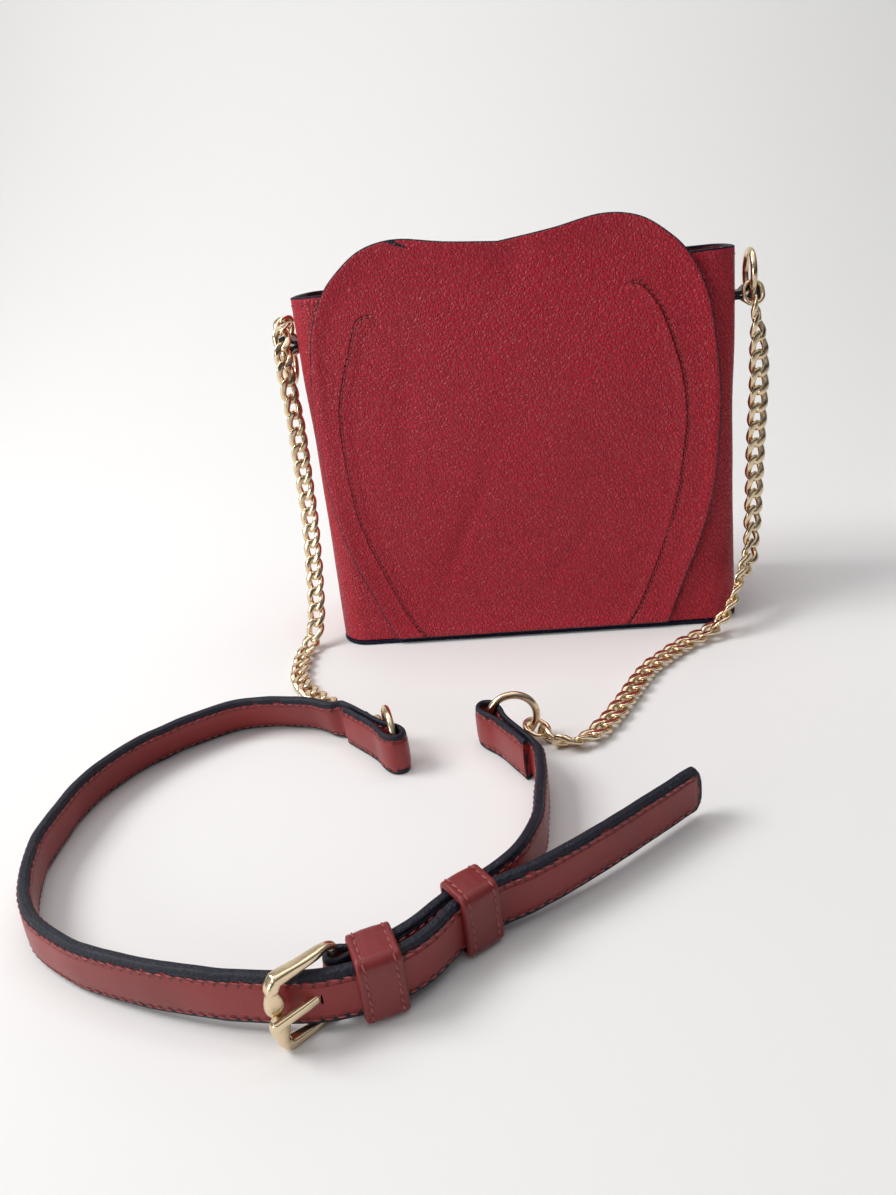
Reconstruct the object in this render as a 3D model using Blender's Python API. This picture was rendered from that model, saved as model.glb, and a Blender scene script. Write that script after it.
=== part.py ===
"""A small crossbody bag: a leaning pouch with a petal panel sewn on its front, two curb chains and a
buckled strap laid out on the floor in front of it. Metres, +Z up, +X to the bag's right, front at -Y."""

import math

import bmesh
import bpy
from mathutils import Matrix, Vector

# Bag body
BODY_HEIGHT = 0.180
TOP_WIDTH = 0.2156
BOTTOM_WIDTH = 0.211
BASE_DEPTH = 0.080
MOUTH_DEPTH = 0.040
BASE_CORNER = 0.016
MOUTH_CORNER = 0.012
SEAM_WRAP = 0.002
SHELL = 0.0018
LINING_WALL = 0.0009
FACING_WALL = 0.0014
FACING_DROP = 0.030
BOARD_THICKNESS = 0.0016
BASE_THICKNESS = 0.0023
BASE_LIP = 0.0004
GAP = 0.0003

# Petal panel
PETAL_HEIGHT = 0.2016
PETAL_HALF_WIDTH = 0.100
PETAL_SHIFT = -0.0018
PETAL_WALL = 0.0016
PETAL_FOOT = 0.003
CUTTER_REACH = 0.090
PETAL_SHARES = (
    (0.0, 0.968), (0.25, 0.982), (0.48, 1.0), (0.65, 0.986), (0.78, 0.943), (0.872, 0.893),
    (0.945, 0.815), (0.98, 0.724), (1.0, 0.605), (1.0, 0.536), (0.99, 0.456), (0.97, 0.372),
    (0.93, 0.283), (0.873, 0.198), (0.80, 0.11), (0.715, 0.0),
)

# Magnetic snap
SNAP_RADIUS = 0.007
SNAP_THICKNESS = 0.0022
SNAP_STUD = 0.0026
SNAP_HEIGHT = 0.163

# Rings and their tabs
RING_RADIUS = 0.0101
RING_WIRE = 0.0033
RING_PLAY = 0.0005
TAB_WIDTH = 0.010
TAB_LAYER = 0.0020
TAB_HOLE = 0.0028
TAB_PIVOT_X = 0.1165
TAB_PIVOT_Z = 0.157

# Chains
LINK_WIDTH = 0.009
LINK_WIRE = 0.0023
LINK_PITCH = 0.0087
LINK_TWIST_SHARE = 0.62
BEARING_SHARE = 0.74
LINKS_PER_RUN = 4
END_LINK_LENGTH = 0.013
END_LINK_WIDTH = 0.0108
END_LINK_WIRE = 0.0021

# Strap
STRAP_WIDTH = 0.0185
STRAP_THICKNESS = 0.0044
LIFT = 0.003
EDGE_ROUND = 0.0007

# Buckle and keepers
BUCKLE_FOOT = 0.00015
BUCKLE_HEIGHT = 0.0262
BUCKLE_BAR = 0.0036
BUCKLE_BAR_DEPTH = 0.0038
BUCKLE_ARM = 0.0023
BUCKLE_ARM_DEPTH = 0.0030
BUCKLE_CORNER = 0.0034
HEEL_BAR = 0.0022
PRONG = 0.0022
PRONG_LOOP = 0.0012
PRONG_OVERHANG = 0.0026
HEEL_FOLD = 0.0022
BUCKLE_SWING = 10.0
KEEPER_WALL = 0.0018
KEEPER_LENGTH = 0.0135
KEEPER_CLEAR = 0.0005
FOLD_SLACK = 0.0014
KEEPER_ROUND = 0.0012

# The layout on the floor, in shares of how far the loop reaches in front of the bag
LOOP_REACH = 0.290
# x, y, lift share, lean in degrees
LONG_ROUTE_SHARES = (
    (-0.302, -0.451, 0.0, 10.0), (-0.338, -0.428, 0.0, 15.0), (-0.403, -0.4155, 0.0, 17.0),
    (-0.469, -0.4207, 0.0, 17.0), (-0.524, -0.4534, 0.0, 17.0), (-0.562, -0.4862, 0.0, 17.0),
    (-0.598, -0.5276, 0.0, 16.0), (-0.624, -0.5793, 0.0, 15.0), (-0.638, -0.6345, 0.0, 13.0),
    (-0.638, -0.6897, 0.0, 11.0), (-0.634, -0.7483, 0.0, 9.0), (-0.621, -0.791, 0.0, 7.0),
    (-0.600, -0.8372, 0.0, 5.0), (-0.577, -0.872, 0.0, 3.0), (-0.545, -0.904, 0.0, 2.0),
    (-0.479, -0.9414, 0.1, 0.0), (-0.402, -0.969, 0.5, 0.0), (-0.344, -0.984, 0.85, 0.0),
    (-0.276, -0.995, 1.0, 0.0), (-0.205, -0.9965, 1.0, 0.0), (-0.164, -0.9880, 1.0, 0.0),
    (-0.1397, -0.9770, 1.0, 0.0), (-0.116, -0.9640, 1.0, 0.0), (-0.092, -0.9400, 1.0, 0.0),
    (-0.0705, -0.9070, 1.0, 0.0), (-0.0507, -0.8900, 1.0, 0.0), (-0.031, -0.8735, 1.0, 0.0),
    (0.012, -0.8480, 1.0, 0.0), (0.069, -0.8040, 1.0, 0.0), (0.131, -0.7500, 1.0, 0.0),
    (0.2075, -0.6810, 1.0, 0.0),
)
SHORT_ROUTE_SHARES = (
    (0.0165, -0.6280, 0.0, 0.0), (0.0180, -0.660, 0.0, 0.0), (0.0165, -0.700, 0.1, 0.0),
    (0.0145, -0.750, 0.5, 0.0), (0.0, -0.8020, 0.9, 0.0), (-0.0180, -0.8340, 1.0, 0.0),
    (-0.0436, -0.8621, 1.0, 0.0), (-0.0616, -0.8771, 1.0, 0.0), (-0.0795, -0.8921, 1.0, 0.0),
    (-0.1069, -0.9259, 1.0, 0.0), (-0.1283, -0.9455, 1.0, 0.0),
)
HEEL_SHARES = (-0.1834, -0.9721)
BUCKLE_FRONT_SHARES = (-0.2325, -1.0215)
HEEL_FOLD_TURN = 18.0
SLIDING_KEEPER_SHARES = (-0.0507, -0.8900)
FIXED_KEEPER_SHARES = (-0.1397, -0.9770)
FIXED_KEEPER_TURN = 25.0
SLIDING_KEEPER_TURN = 40.0
RIGHT_CHAIN_SHARES = (
    (0.408, -0.0410, 0.486), (0.410, -0.045, 0.414), (0.407, -0.050, 0.345), (0.4035, -0.055, 0.276),
    (0.401, -0.062, 0.207), (0.396, -0.076, 0.150), (0.388, -0.100, 0.108), (0.3645, -0.141, 0.085),
    (0.346, -0.168, 0.058), (0.328, -0.185, 0.036), (0.303, -0.199, 0.0175), (0.276, -0.217, 0.0125),
    (0.245, -0.243, 0.0100), (0.214, -0.279, 0.0096), (0.187, -0.314, 0.0096), (0.165, -0.359, 0.0096),
    (0.145, -0.403, 0.0096), (0.124, -0.446, 0.0096), (0.098, -0.490, 0.0106), (0.068, -0.516, 0.0125), (0.042, -0.518, 0.0145),
)
LEFT_CHAIN_SHARES = (
    (-0.4020, 0.0350, 0.5680), (-0.4020, 0.0190, 0.5800), (-0.4010, -0.004, 0.5800), (-0.3990, -0.028, 0.5660),
    (-0.3980, -0.044, 0.5400),
    (-0.3975, -0.053, 0.507), (-0.3970, -0.056, 0.470), (-0.3970, -0.052, 0.435), (-0.3980, -0.050, 0.390),
    (-0.3995, -0.052, 0.340), (-0.4000, -0.057, 0.290), (-0.4000, -0.064, 0.240), (-0.4005, -0.078, 0.190),
    (-0.4020, -0.096, 0.130), (-0.4050, -0.113, 0.075), (-0.4090, -0.124, 0.043), (-0.4160, -0.138, 0.0200),
    (-0.4210, -0.157, 0.0118), (-0.4220, -0.191, 0.0102), (-0.4165, -0.234, 0.0096),
    (-0.4080, -0.272, 0.0096), (-0.390, -0.308, 0.0096), (-0.358, -0.346, 0.0096), (-0.315, -0.385, 0.0096),
    (-0.272, -0.425, 0.0112), (-0.238, -0.452, 0.0138),
)
# Broad-axis azimuth in degrees at even steps along each chain
RIGHT_TURNS = (10.0, 5.0, 7.0, 13.0, 32.0, 60.0, 95.0, 120.0, 135.0, 150.0, 155.0, 115.0)
LEFT_TURNS = (0.0, 10.0, 40.0, 20.0, 0.0, 0.0, 0.0, 0.0, 5.0, 25.0, 48.0, 55.0)
# How far behind its ring's middle each side's end link hooks, as a share of the ring's radius, and its pull
SIDE_HOOK_SHARE = 0.75
RIGHT_PULL = (0.05, -0.45, -0.89)
LEFT_PULL = (0.0, 0.36, 0.933)
STRAP_PULL_DROP = 0.30
# How far each end link and the chain's first link are turned about the pull, in degrees
SIDE_LINK_TURNS = (0.0, -65.0)
STRAP_LINK_TURNS = (25.0, -38.0)
LONG_RING_HOLE_SHARES = (-0.1921, -0.5486)
LONG_RING_TURN = 110.0
LONG_RING_HOOK = 38.0
LONG_PULL_TURN = 15.0
SHORT_RING_HOLE_SHARES = (-0.0595, -0.4945)
SHORT_RING_TURN = 9.0
SHORT_RING_HOOK = 35.0
SHORT_PULL_TURN = -45.0
SHORT_FOLD_TURN = -57.0
LONG_FOLD_TURN = 137.0
# Along and across the strap from the ring's hole, and the layer's half thickness, in strap widths
FOLD_SHARES = (
    (1.75, 0.088, 0.068), (1.30, 0.086, 0.070), (0.85, 0.086, 0.070), (0.52, 0.112, 0.070),
    (0.26, 0.180, 0.070), (0.02, 0.211, 0.070), (-0.17, 0.165, 0.070), (-0.262, 0.0, 0.070),
    (-0.17, -0.165, 0.070), (0.02, -0.211, 0.070), (0.26, -0.180, 0.070), (0.52, -0.112, 0.070),
    (0.85, -0.086, 0.070), (1.30, -0.086, 0.070), (1.72, -0.080, 0.074), (2.05, -0.040, 0.112),
)

STRIP_STEP = 0.0062
ARC_STEPS = 6
RING_STEPS = 28
WIRE_STEPS = 8
LINK_STEPS = 10
LINK_SIDES = 6
ROUND_STEPS = 20

RED = (0.36, 0.035, 0.06)
STRAP_RED = (0.30, 0.06, 0.055)
EDGE = (0.02, 0.02, 0.03)
CLOTH = (0.10, 0.03, 0.03)
GOLD = (0.76, 0.61, 0.40)
BOARD = (0.45, 0.40, 0.32)


def material(name, colour, roughness, metallic):
    """A Principled material of one colour."""
    made = bpy.data.materials.new(name)
    made.use_nodes = True
    shader = made.node_tree.nodes["Principled BSDF"]
    shader.inputs["Base Color"].default_value = (*colour, 1.0)
    shader.inputs["Roughness"].default_value = roughness
    shader.inputs["Metallic"].default_value = metallic
    made.diffuse_color = (*colour, 1.0)
    return made


def solid(name, points, faces, look, smooth=False, pivot=None):
    """An object from points and faces, its normals made to face out and its origin put on the pivot."""
    mesh = bpy.data.meshes.new(name)
    centre = Vector(pivot) if pivot is not None else Vector()
    mesh.from_pydata([tuple(Vector(p) - centre) for p in points], [], faces)
    work = bmesh.new()
    work.from_mesh(mesh)
    bmesh.ops.recalc_face_normals(work, faces=work.faces)
    work.to_mesh(mesh)
    work.free()
    obj = bpy.data.objects.new(name, mesh)
    bpy.context.scene.collection.objects.link(obj)
    obj.location = centre
    mesh.materials.append(material(name + "_look", *look))
    for face in mesh.polygons:
        face.use_smooth = smooth
    return obj


def rings_to_faces(count, size, closed=False):
    """Faces between count rings of size points each, with end caps unless the rings close on themselves."""
    faces = []
    for i in range(count if closed else count - 1):
        j = (i + 1) % count
        for k in range(size):
            m = (k + 1) % size
            faces.append((i * size + k, i * size + m, j * size + m, j * size + k))
    if not closed:
        faces.append(tuple(range(size)))
        faces.append(tuple(range((count - 1) * size, count * size)))
    return faces


def smooth_rows(rows, per):
    """Rows of numbers joined by a Catmull-Rom curve, with per steps between two rows."""
    rows = [Vector(r) for r in rows]
    padded = [rows[0] * 2 - rows[1]] + rows + [rows[-1] * 2 - rows[-2]]
    made = []
    for a, b, c, d in zip(padded, padded[1:], padded[2:], padded[3:]):
        for i in range(per):
            t = i / per
            made.append(
                (b * 2 + (c - a) * t + (a * 2 - b * 5 + c * 4 - d) * t**2 + (b * 3 - a - c * 3 + d) * t**3) / 2
            )
    return made + [rows[-1]]


def even_rows(rows, step, size):
    """The rows placed again at even steps of length, measured over the first size numbers of each."""
    lengths = [0.0]
    for a, b in zip(rows, rows[1:]):
        lengths.append(lengths[-1] + (Vector(a[:size]) - Vector(b[:size])).length)
    count = max(2, round(lengths[-1] / step))
    return [row_at(rows, lengths, lengths[-1] * i / count) for i in range(count + 1)], lengths[-1]


def row_at(rows, lengths, place):
    """The row at one place along the lengths."""
    for i in range(1, len(rows)):
        if lengths[i] >= place or i == len(rows) - 1:
            t = (place - lengths[i - 1]) / (lengths[i] - lengths[i - 1])
            return rows[i - 1].lerp(rows[i], min(max(t, 0.0), 1.0))
    return rows[-1]


def height_mix(bottom, top, z):
    return bottom + (top - bottom) * z / BODY_HEIGHT


def section(z, inset):
    """Half width, half depth and corner radius of the bag at height z, moved in by inset."""
    half_width = height_mix(BOTTOM_WIDTH, TOP_WIDTH, z) / 2 - inset
    half_depth = height_mix(BASE_DEPTH, MOUTH_DEPTH, z) / 2 - inset
    corner = height_mix(BASE_CORNER, MOUTH_CORNER, z) - inset
    return half_width, half_depth, corner


def arc(cx, cy, radius, start, end, steps):
    """Points on an arc, in degrees."""
    points = []
    for i in range(steps + 1):
        a = math.radians(start + (end - start) * i / steps)
        points.append((cx + radius * math.cos(a), cy + radius * math.sin(a)))
    return points


def face_plan(z, inset):
    """The front's plan line, from its left seam round both corners to its right seam."""
    w, d, r = section(z, inset)
    left = arc(-w + r, -d + r, r, 180, 270, ARC_STEPS)
    right = arc(w - r, -d + r, r, 270, 360, ARC_STEPS)
    return [(-w, -d + r + SEAM_WRAP)] + left + right + [(w, -d + r + SEAM_WRAP)]


def side_plan(z, inset):
    """The right gusset's plan line, between the front's seam and the back's."""
    w, d, r = section(z, inset)
    end = d - r - SEAM_WRAP - GAP
    return [(w, -end), (w, -end / 2), (w, 0), (w, end / 2), (w, end)]


def ring_plan(z, inset):
    """The whole plan line at height z."""
    w, d, r = section(z, inset)
    points = []
    for cx, cy, a in ((-1, -1, 180), (1, -1, 270), (1, 1, 0), (-1, 1, 90)):
        points += arc(cx * (w - r), cy * (d - r), r, a, a + 90, ARC_STEPS)
    return points


def sheet(name, plan, levels, outer, inner, look, turn=(1, 1)):
    """A curved wall between two insets, over the given heights."""
    rings = []
    for z in levels:
        outside = [(x * turn[0], y * turn[1], z) for x, y in plan(z, outer)]
        inside = [(x * turn[0], y * turn[1], z) for x, y in plan(z, inner)]
        rings.append(outside + inside[::-1])
    points = [p for ring in rings for p in ring]
    return solid(name, points, rings_to_faces(len(rings), len(rings[0])), look)


def levels_between(low, high, count):
    return [low + (high - low) * i / count for i in range(count + 1)]


def torus(name, centre, out, up, look, radius, wire, pivot=None):
    """A round ring: out and up are two square directions in its plane."""
    across = out.cross(up)
    points = []
    for i in range(RING_STEPS):
        a = math.tau * i / RING_STEPS
        spoke = out * math.cos(a) + up * math.sin(a)
        for j in range(WIRE_STEPS):
            b = math.tau * j / WIRE_STEPS
            points.append(centre + spoke * (radius + wire / 2 * math.cos(b)) + across * wire / 2 * math.sin(b))
    return solid(name, points, rings_to_faces(RING_STEPS, WIRE_STEPS, True), look, True, pivot)


def oval_link(name, middle, along, broad, look):
    """A plain oval link with two straight sides."""
    across = along.cross(broad)
    half = (END_LINK_WIDTH - END_LINK_WIRE) / 2
    straight = (END_LINK_LENGTH - END_LINK_WIDTH) / 2
    spine = arc(straight, 0, half, -90, 90, 8) + arc(-straight, 0, half, 90, 270, 8)
    points = []
    for i, (x, y) in enumerate(spine):
        shift = straight if i < len(spine) / 2 else -straight
        spoke = (along * (x - shift) + broad * y).normalized()
        core = middle + along * x + broad * y
        for j in range(WIRE_STEPS):
            b = math.tau * j / WIRE_STEPS
            points.append(core + (spoke * math.cos(b) + across * math.sin(b)) * END_LINK_WIRE / 2)
    return solid(name, points, rings_to_faces(len(spine), WIRE_STEPS, True), look, True)


def curb_points(middle, along, broad, half_length):
    """One twisted link's points: its wire rises and falls twice round the loop, so neighbours nest flat."""
    across = along.cross(broad)
    half_width = (LINK_WIDTH - LINK_WIRE) / 2
    rise = LINK_WIRE * LINK_TWIST_SHARE
    core = []
    for i in range(LINK_STEPS):
        t = math.tau * i / LINK_STEPS
        core.append(
            middle + along * half_length * math.cos(t) + broad * half_width * math.sin(t) + across * rise * math.sin(2 * t)
        )
    points = []
    for i in range(LINK_STEPS):
        t = (core[(i + 1) % LINK_STEPS] - core[i - 1]).normalized()
        spoke = (core[i] - middle).normalized()
        side = t.cross(spoke).normalized()
        spoke = side.cross(t).normalized()
        for j in range(LINK_SIDES):
            b = math.tau * j / LINK_SIDES
            points.append(core[i] + (spoke * math.cos(b) + side * math.sin(b)) * LINK_WIRE / 2)
    return points


def end_link(name, hook, tangent, pull, look, turns):
    """A plain link round a ring's wire. It gives back where its chain starts and that chain's broad axis."""
    pull = Vector(pull).normalized()
    square = tangent.cross(pull).normalized()
    other = pull.cross(square)
    turn, mate_turn = (math.radians(a) for a in turns)
    reach = (END_LINK_LENGTH - END_LINK_WIRE) / 2
    inner = reach - (RING_WIRE + END_LINK_WIRE) / 2 - GAP * 2.6
    outer = reach - (LINK_WIRE + END_LINK_WIRE) / 2 - GAP * 3
    broad = square * math.cos(turn) + other * math.sin(turn)
    oval_link(name, hook + pull * inner, pull, broad, look)
    start = hook + pull * (inner + outer + LINK_WIRE * BEARING_SHARE / 2)
    return start, square * math.cos(mate_turn) + other * math.sin(mate_turn)


def chain(name, shares, turns, look, start, end):
    """Curb links at an even pitch along a smooth route, in runs that part at a bearing."""
    rows = smooth_rows([start[0]] + [Vector(r) * LOOP_REACH for r in shares] + [end[0]], 6)
    rows, length = even_rows(rows, LINK_WIRE / 2, 3)
    lengths = [length * i / (len(rows) - 1) for i in range(len(rows))]
    count = LINKS_PER_RUN * round(length / LINK_PITCH / LINKS_PER_RUN)
    runs = count // LINKS_PER_RUN
    shorter = LINK_WIRE * (1 - BEARING_SHARE) + GAP * 2.6
    pitch = (length + (runs - 1) * shorter) / count
    half_length = (pitch + LINK_WIRE * BEARING_SHARE) / 2
    place = pitch / 2
    faces = rings_to_faces(LINK_STEPS, LINK_SIDES, True)
    for run in range(runs):
        halves = ([], [])
        for k in range(LINKS_PER_RUN):
            middle = row_at(rows, lengths, place)
            ahead = row_at(rows, lengths, min(place + pitch / 2, length))
            behind = row_at(rows, lengths, max(place - pitch / 2, 0))
            along = (ahead - behind).normalized()
            at = place / length * (len(turns) - 1)
            low = min(int(at), len(turns) - 2)
            turn = math.radians(turns[low] + (turns[low + 1] - turns[low]) * (at - low))
            broad = Vector((math.cos(turn), math.sin(turn), 0))
            number = run * LINKS_PER_RUN + k
            for far, held in ((number, start[1]), (count - 1 - number, end[1])):
                if far < 3:
                    mate = held if held.dot(broad) > 0 else -held
                    broad = broad.lerp(mate, 1 - far / 3)
            broad = (broad - along * broad.dot(along)).normalized()
            halves[k % 2].append(curb_points(middle, along, broad, half_length))
            place += pitch
        place -= shorter
        made = []
        for part, links in enumerate(halves):
            points = [p for link in links for p in link]
            size = LINK_STEPS * LINK_SIDES
            all_faces = [tuple(v + i * size for v in f) for i in range(len(links)) for f in faces]
            made.append(solid(f"{name}_run_{run + 1}" + ("" if part == 0 else "_b"), points, all_faces, look, True))
        combine(made[0], made[1], "UNION")
        keep_outside(made[0])


def combine(obj, other, operation):
    """The Boolean of two objects, applied, with the second one removed."""
    modifier = obj.modifiers.new("combine", "BOOLEAN")
    modifier.operation = operation
    modifier.solver = "EXACT"
    modifier.object = other
    graph = bpy.context.evaluated_depsgraph_get()
    mesh = bpy.data.meshes.new_from_object(obj.evaluated_get(graph))
    obj.modifiers.clear()
    obj.data = mesh
    while len(mesh.materials) > 1:
        mesh.materials.pop(index=len(mesh.materials) - 1)
    bpy.data.objects.remove(other)


def keep_outside(obj):
    """The largest closed shell of an object is kept, and the pockets shut in where two wires cross are filled."""
    work = bmesh.new()
    work.from_mesh(obj.data)
    left = set(work.verts)
    shells = []
    while left:
        shell = {left.pop()}
        edge = list(shell)
        while edge:
            near = {e.other_vert(v) for v in edge for e in v.link_edges} & left
            left -= near
            shell |= near
            edge = list(near)
        shells.append(shell)
    largest = max(shells, key=len)
    bmesh.ops.delete(work, geom=[v for shell in shells if shell is not largest for v in shell], context="VERTS")
    work.to_mesh(obj.data)
    work.free()


def box(name, low, high, look):
    """A plain box between two corners."""
    points = [(x, y, z) for x in (low[0], high[0]) for y in (low[1], high[1]) for z in (low[2], high[2])]
    faces = [(0, 1, 3, 2), (4, 6, 7, 5), (0, 4, 5, 1), (2, 3, 7, 6), (0, 2, 6, 4), (1, 5, 7, 3)]
    return solid(name, points, faces, look)


def drum(name, centre, axis, radii, look, pivot=None, smooth=True):
    """A turned solid: pairs of place along the axis and radius, closed by flat ends."""
    axis = Vector(axis).normalized()
    side = axis.orthogonal().normalized()
    other = axis.cross(side)
    points = []
    for along, radius in radii:
        for i in range(ROUND_STEPS):
            a = math.tau * i / ROUND_STEPS
            points.append(Vector(centre) + axis * along + (side * math.cos(a) + other * math.sin(a)) * radius)
    return solid(name, points, rings_to_faces(len(radii), ROUND_STEPS), look, smooth, pivot)


def strip(name, rows, look, width=STRAP_WIDTH):
    """A strap standing on its edge: rows of x, y, lift, lean and half thickness."""
    points = []
    for i, row in enumerate(rows):
        before = rows[max(i - 1, 0)]
        after = rows[min(i + 1, len(rows) - 1)]
        run = Vector((after[0] - before[0], after[1] - before[1], 0)).normalized()
        left = Vector((-run.y, run.x, 0))
        lean = math.radians(row[3])
        side = left * math.cos(lean) - Vector((0, 0, 1)) * math.sin(lean)
        up = Vector((0, 0, 1)) * math.cos(lean) + left * math.sin(lean)
        half = row[4]
        foot = width / 2 * math.cos(lean) + half * abs(math.sin(lean))
        centre = Vector((row[0], row[1], row[2] + foot)) + left * width / 2 * math.sin(lean)
        w, r = width / 2, min(EDGE_ROUND, half / 2)
        outline = ((-half, -w + r), (-half + r, -w), (half - r, -w), (half, -w + r))
        outline += ((half, w - r), (half - r, w), (-half + r, w), (-half, w - r))
        points += [centre + side * a + up * b for a, b in outline]
    return solid(name, points, rings_to_faces(len(rows), 8), look)


def bag_body():
    """The pouch, its lining, facings, base and snap."""
    foot = BASE_THICKNESS + GAP
    leather = (RED, 0.5, 0.0)
    levels = levels_between(foot, BODY_HEIGHT, 6)
    sheet("front_body_panel", face_plan, levels, 0.0, SHELL, leather)
    sheet("back_body_panel", face_plan, levels, 0.0, SHELL, leather, (1, -1))
    right = sheet("right_gusset", side_plan, levels, 0.0, SHELL, leather)
    left = sheet("left_gusset", side_plan, levels, 0.0, SHELL, leather, (-1, 1))
    base = [(x, y, z) for z in (0, BASE_THICKNESS) for x, y in ring_plan(0, -BASE_LIP)]
    solid("base_panel", base, rings_to_faces(2, len(base) // 2), (EDGE, 0.35, 0.0))
    inner = SHELL + GAP
    board_top = foot + BOARD_THICKNESS
    board = [(x, y, z) for z in (foot, board_top) for x, y in ring_plan(z, inner)]
    solid("base_board", board, rings_to_faces(2, len(board) // 2), (BOARD, 0.8, 0.0))
    facing_foot = BODY_HEIGHT - FACING_DROP
    lining_levels = levels_between(board_top + GAP, facing_foot - GAP, 4)
    outside = [[(x, y, z) for x, y in ring_plan(z, inner)] for z in lining_levels]
    floor = lining_levels[0] + LINING_WALL
    inside_levels = [facing_foot - GAP] + levels_between(floor, facing_foot - GAP, 4)[-2::-1]
    inside = [[(x, y, z) for x, y in ring_plan(z, inner + LINING_WALL)] for z in inside_levels]
    rings = outside + inside
    solid("lining", [p for r in rings for p in r], rings_to_faces(len(rings), len(rings[0])), (CLOTH, 0.8, 0.0))

    def half_plan(z, inset):
        w, d, r = section(z, inset)
        return [(-w, -GAP / 2)] + face_plan(z, inset)[1:-1] + [(w, -GAP / 2)]

    facing_levels = levels_between(facing_foot, BODY_HEIGHT, 2)
    sheet("front_facing", half_plan, facing_levels, inner, inner + FACING_WALL, (STRAP_RED, 0.5, 0.0))
    sheet("back_facing", half_plan, facing_levels, inner, inner + FACING_WALL, (STRAP_RED, 0.5, 0.0), (1, -1))
    slope = math.atan((BASE_DEPTH - MOUTH_DEPTH) / 2 / BODY_HEIGHT)
    depth = height_mix(BASE_DEPTH, MOUTH_DEPTH, SNAP_HEIGHT) / 2
    face = (inner + FACING_WALL + GAP * 1.5) / math.cos(slope)
    for name, way, stud in (("front", 1, True), ("back", -1, False)):
        axis = Vector((0, way * math.cos(slope), -math.sin(slope)))
        centre = Vector((0, way * (-depth + face), SNAP_HEIGHT))
        rim = SNAP_RADIUS * 0.9
        profile = [(0.0, SNAP_RADIUS), (SNAP_THICKNESS / 2, SNAP_RADIUS), (SNAP_THICKNESS, rim)]
        if stud:
            profile += [(SNAP_THICKNESS, SNAP_STUD), (SNAP_THICKNESS * 1.6, SNAP_STUD)]
        else:
            profile += [(SNAP_THICKNESS, SNAP_STUD * 1.2), (SNAP_THICKNESS / 3, SNAP_STUD * 1.2)]
        drum(f"snap_{name}", centre, axis, profile, (GOLD, 0.3, 1.0))
    return left, right


def petal_panel():
    """The leather piece with two round lobes, lying on the front and round the start of its corners."""
    rows = [Vector((x, z)) for x, z in PETAL_SHARES]
    half = smooth_rows(rows, 3)
    span = PETAL_HEIGHT - PETAL_FOOT
    right = [(PETAL_SHIFT + p.x * PETAL_HALF_WIDTH, PETAL_FOOT + p.y * span) for p in half]
    left = [(2 * PETAL_SHIFT - x, z) for x, z in right[1:]]
    outline = left[::-1] + right
    points = [(x, y, z) for y in (-CUTTER_REACH, 0) for x, z in outline]
    cutter = solid("petal_cutter", points, rings_to_faces(2, len(outline)), (RED, 0.5, 0.0))
    levels = levels_between(0, PETAL_HEIGHT * 1.02, 6)

    def front_plan(z, inset):
        w, d, r = section(z, inset)
        left_arc = arc(-w + r, -d + r, r, 200, 270, ARC_STEPS)
        right_arc = arc(w - r, -d + r, r, 270, 340, ARC_STEPS)
        return left_arc + right_arc

    panel = sheet("petal_panel", front_plan, levels, -GAP - PETAL_WALL, -GAP, (RED, 0.45, 0.0))
    combine(panel, cutter, "INTERSECT")


def side_tabs(left_gusset, right_gusset):
    """A folded tab through each gusset, round its side ring."""
    leather = (EDGE, 0.4, 0.0)
    outer = TAB_HOLE + TAB_LAYER
    slit = GAP / 2
    for name, side, gusset in (("left", -1, left_gusset), ("right", 1, right_gusset)):
        wall = section(TAB_PIVOT_Z, SHELL)[0]
        root = wall
        meet = TAB_PIVOT_X - TAB_HOLE * 1.7
        outline = [(root, slit), (meet, slit)] + arc(TAB_PIVOT_X, 0, TAB_HOLE, 150, -150, 10)
        outline += [(meet, -slit), (root, -slit)]
        shell = [(root, -TAB_LAYER)] + [(meet, -TAB_LAYER)] + arc(TAB_PIVOT_X, 0, outer, -140, 140, 12)
        shell += [(meet, TAB_LAYER), (root, TAB_LAYER)]
        outline = outline + shell
        points = []
        for y in (-TAB_WIDTH / 2, TAB_WIDTH / 2):
            points += [(side * x, y, TAB_PIVOT_Z + z) for x, z in outline]
        solid(f"{name}_ring_tab", points, rings_to_faces(2, len(outline)), leather)
        reach = TAB_LAYER + GAP
        low = (side * (wall - SHELL), -TAB_WIDTH / 2 - GAP, TAB_PIVOT_Z - reach)
        high = (side * (wall + SHELL * 2), TAB_WIDTH / 2 + GAP, TAB_PIVOT_Z + reach)
        slot = box("slot_cutter", [min(a, b) for a, b in zip(low, high)], [max(a, b) for a, b in zip(low, high)], leather)
        combine(gusset, slot, "DIFFERENCE")


def side_rings():
    """The ring that hangs on the left and the one that stands on the right."""
    metal = (GOLD, 0.22, 1.0)
    half = TAB_WIDTH / 2
    sag = (RING_RADIUS - math.sqrt(RING_RADIUS**2 - half**2)) / 2
    ends = []
    for name, side, way in (("left", -1, -1), ("right", 1, 1)):
        pivot = Vector((side * TAB_PIVOT_X, 0, TAB_PIVOT_Z))
        centre = pivot + Vector((0, 0, way * (RING_RADIUS - sag)))
        torus(f"{name}_side_ring", centre, Vector((0, 1, 0)), Vector((0, 0, 1)), metal, RING_RADIUS, RING_WIRE, pivot)
        back = -way * SIDE_HOOK_SHARE
        spoke = Vector((0, back, -way * math.sqrt(1 - back**2)))
        tangent = Vector((0, -spoke.z, spoke.y))
        pull = LEFT_PULL if side < 0 else RIGHT_PULL
        ends.append(end_link(f"{name}_top_end_link", centre + spoke * RING_RADIUS, tangent, pull, metal, SIDE_LINK_TURNS))
    return ends


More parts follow.
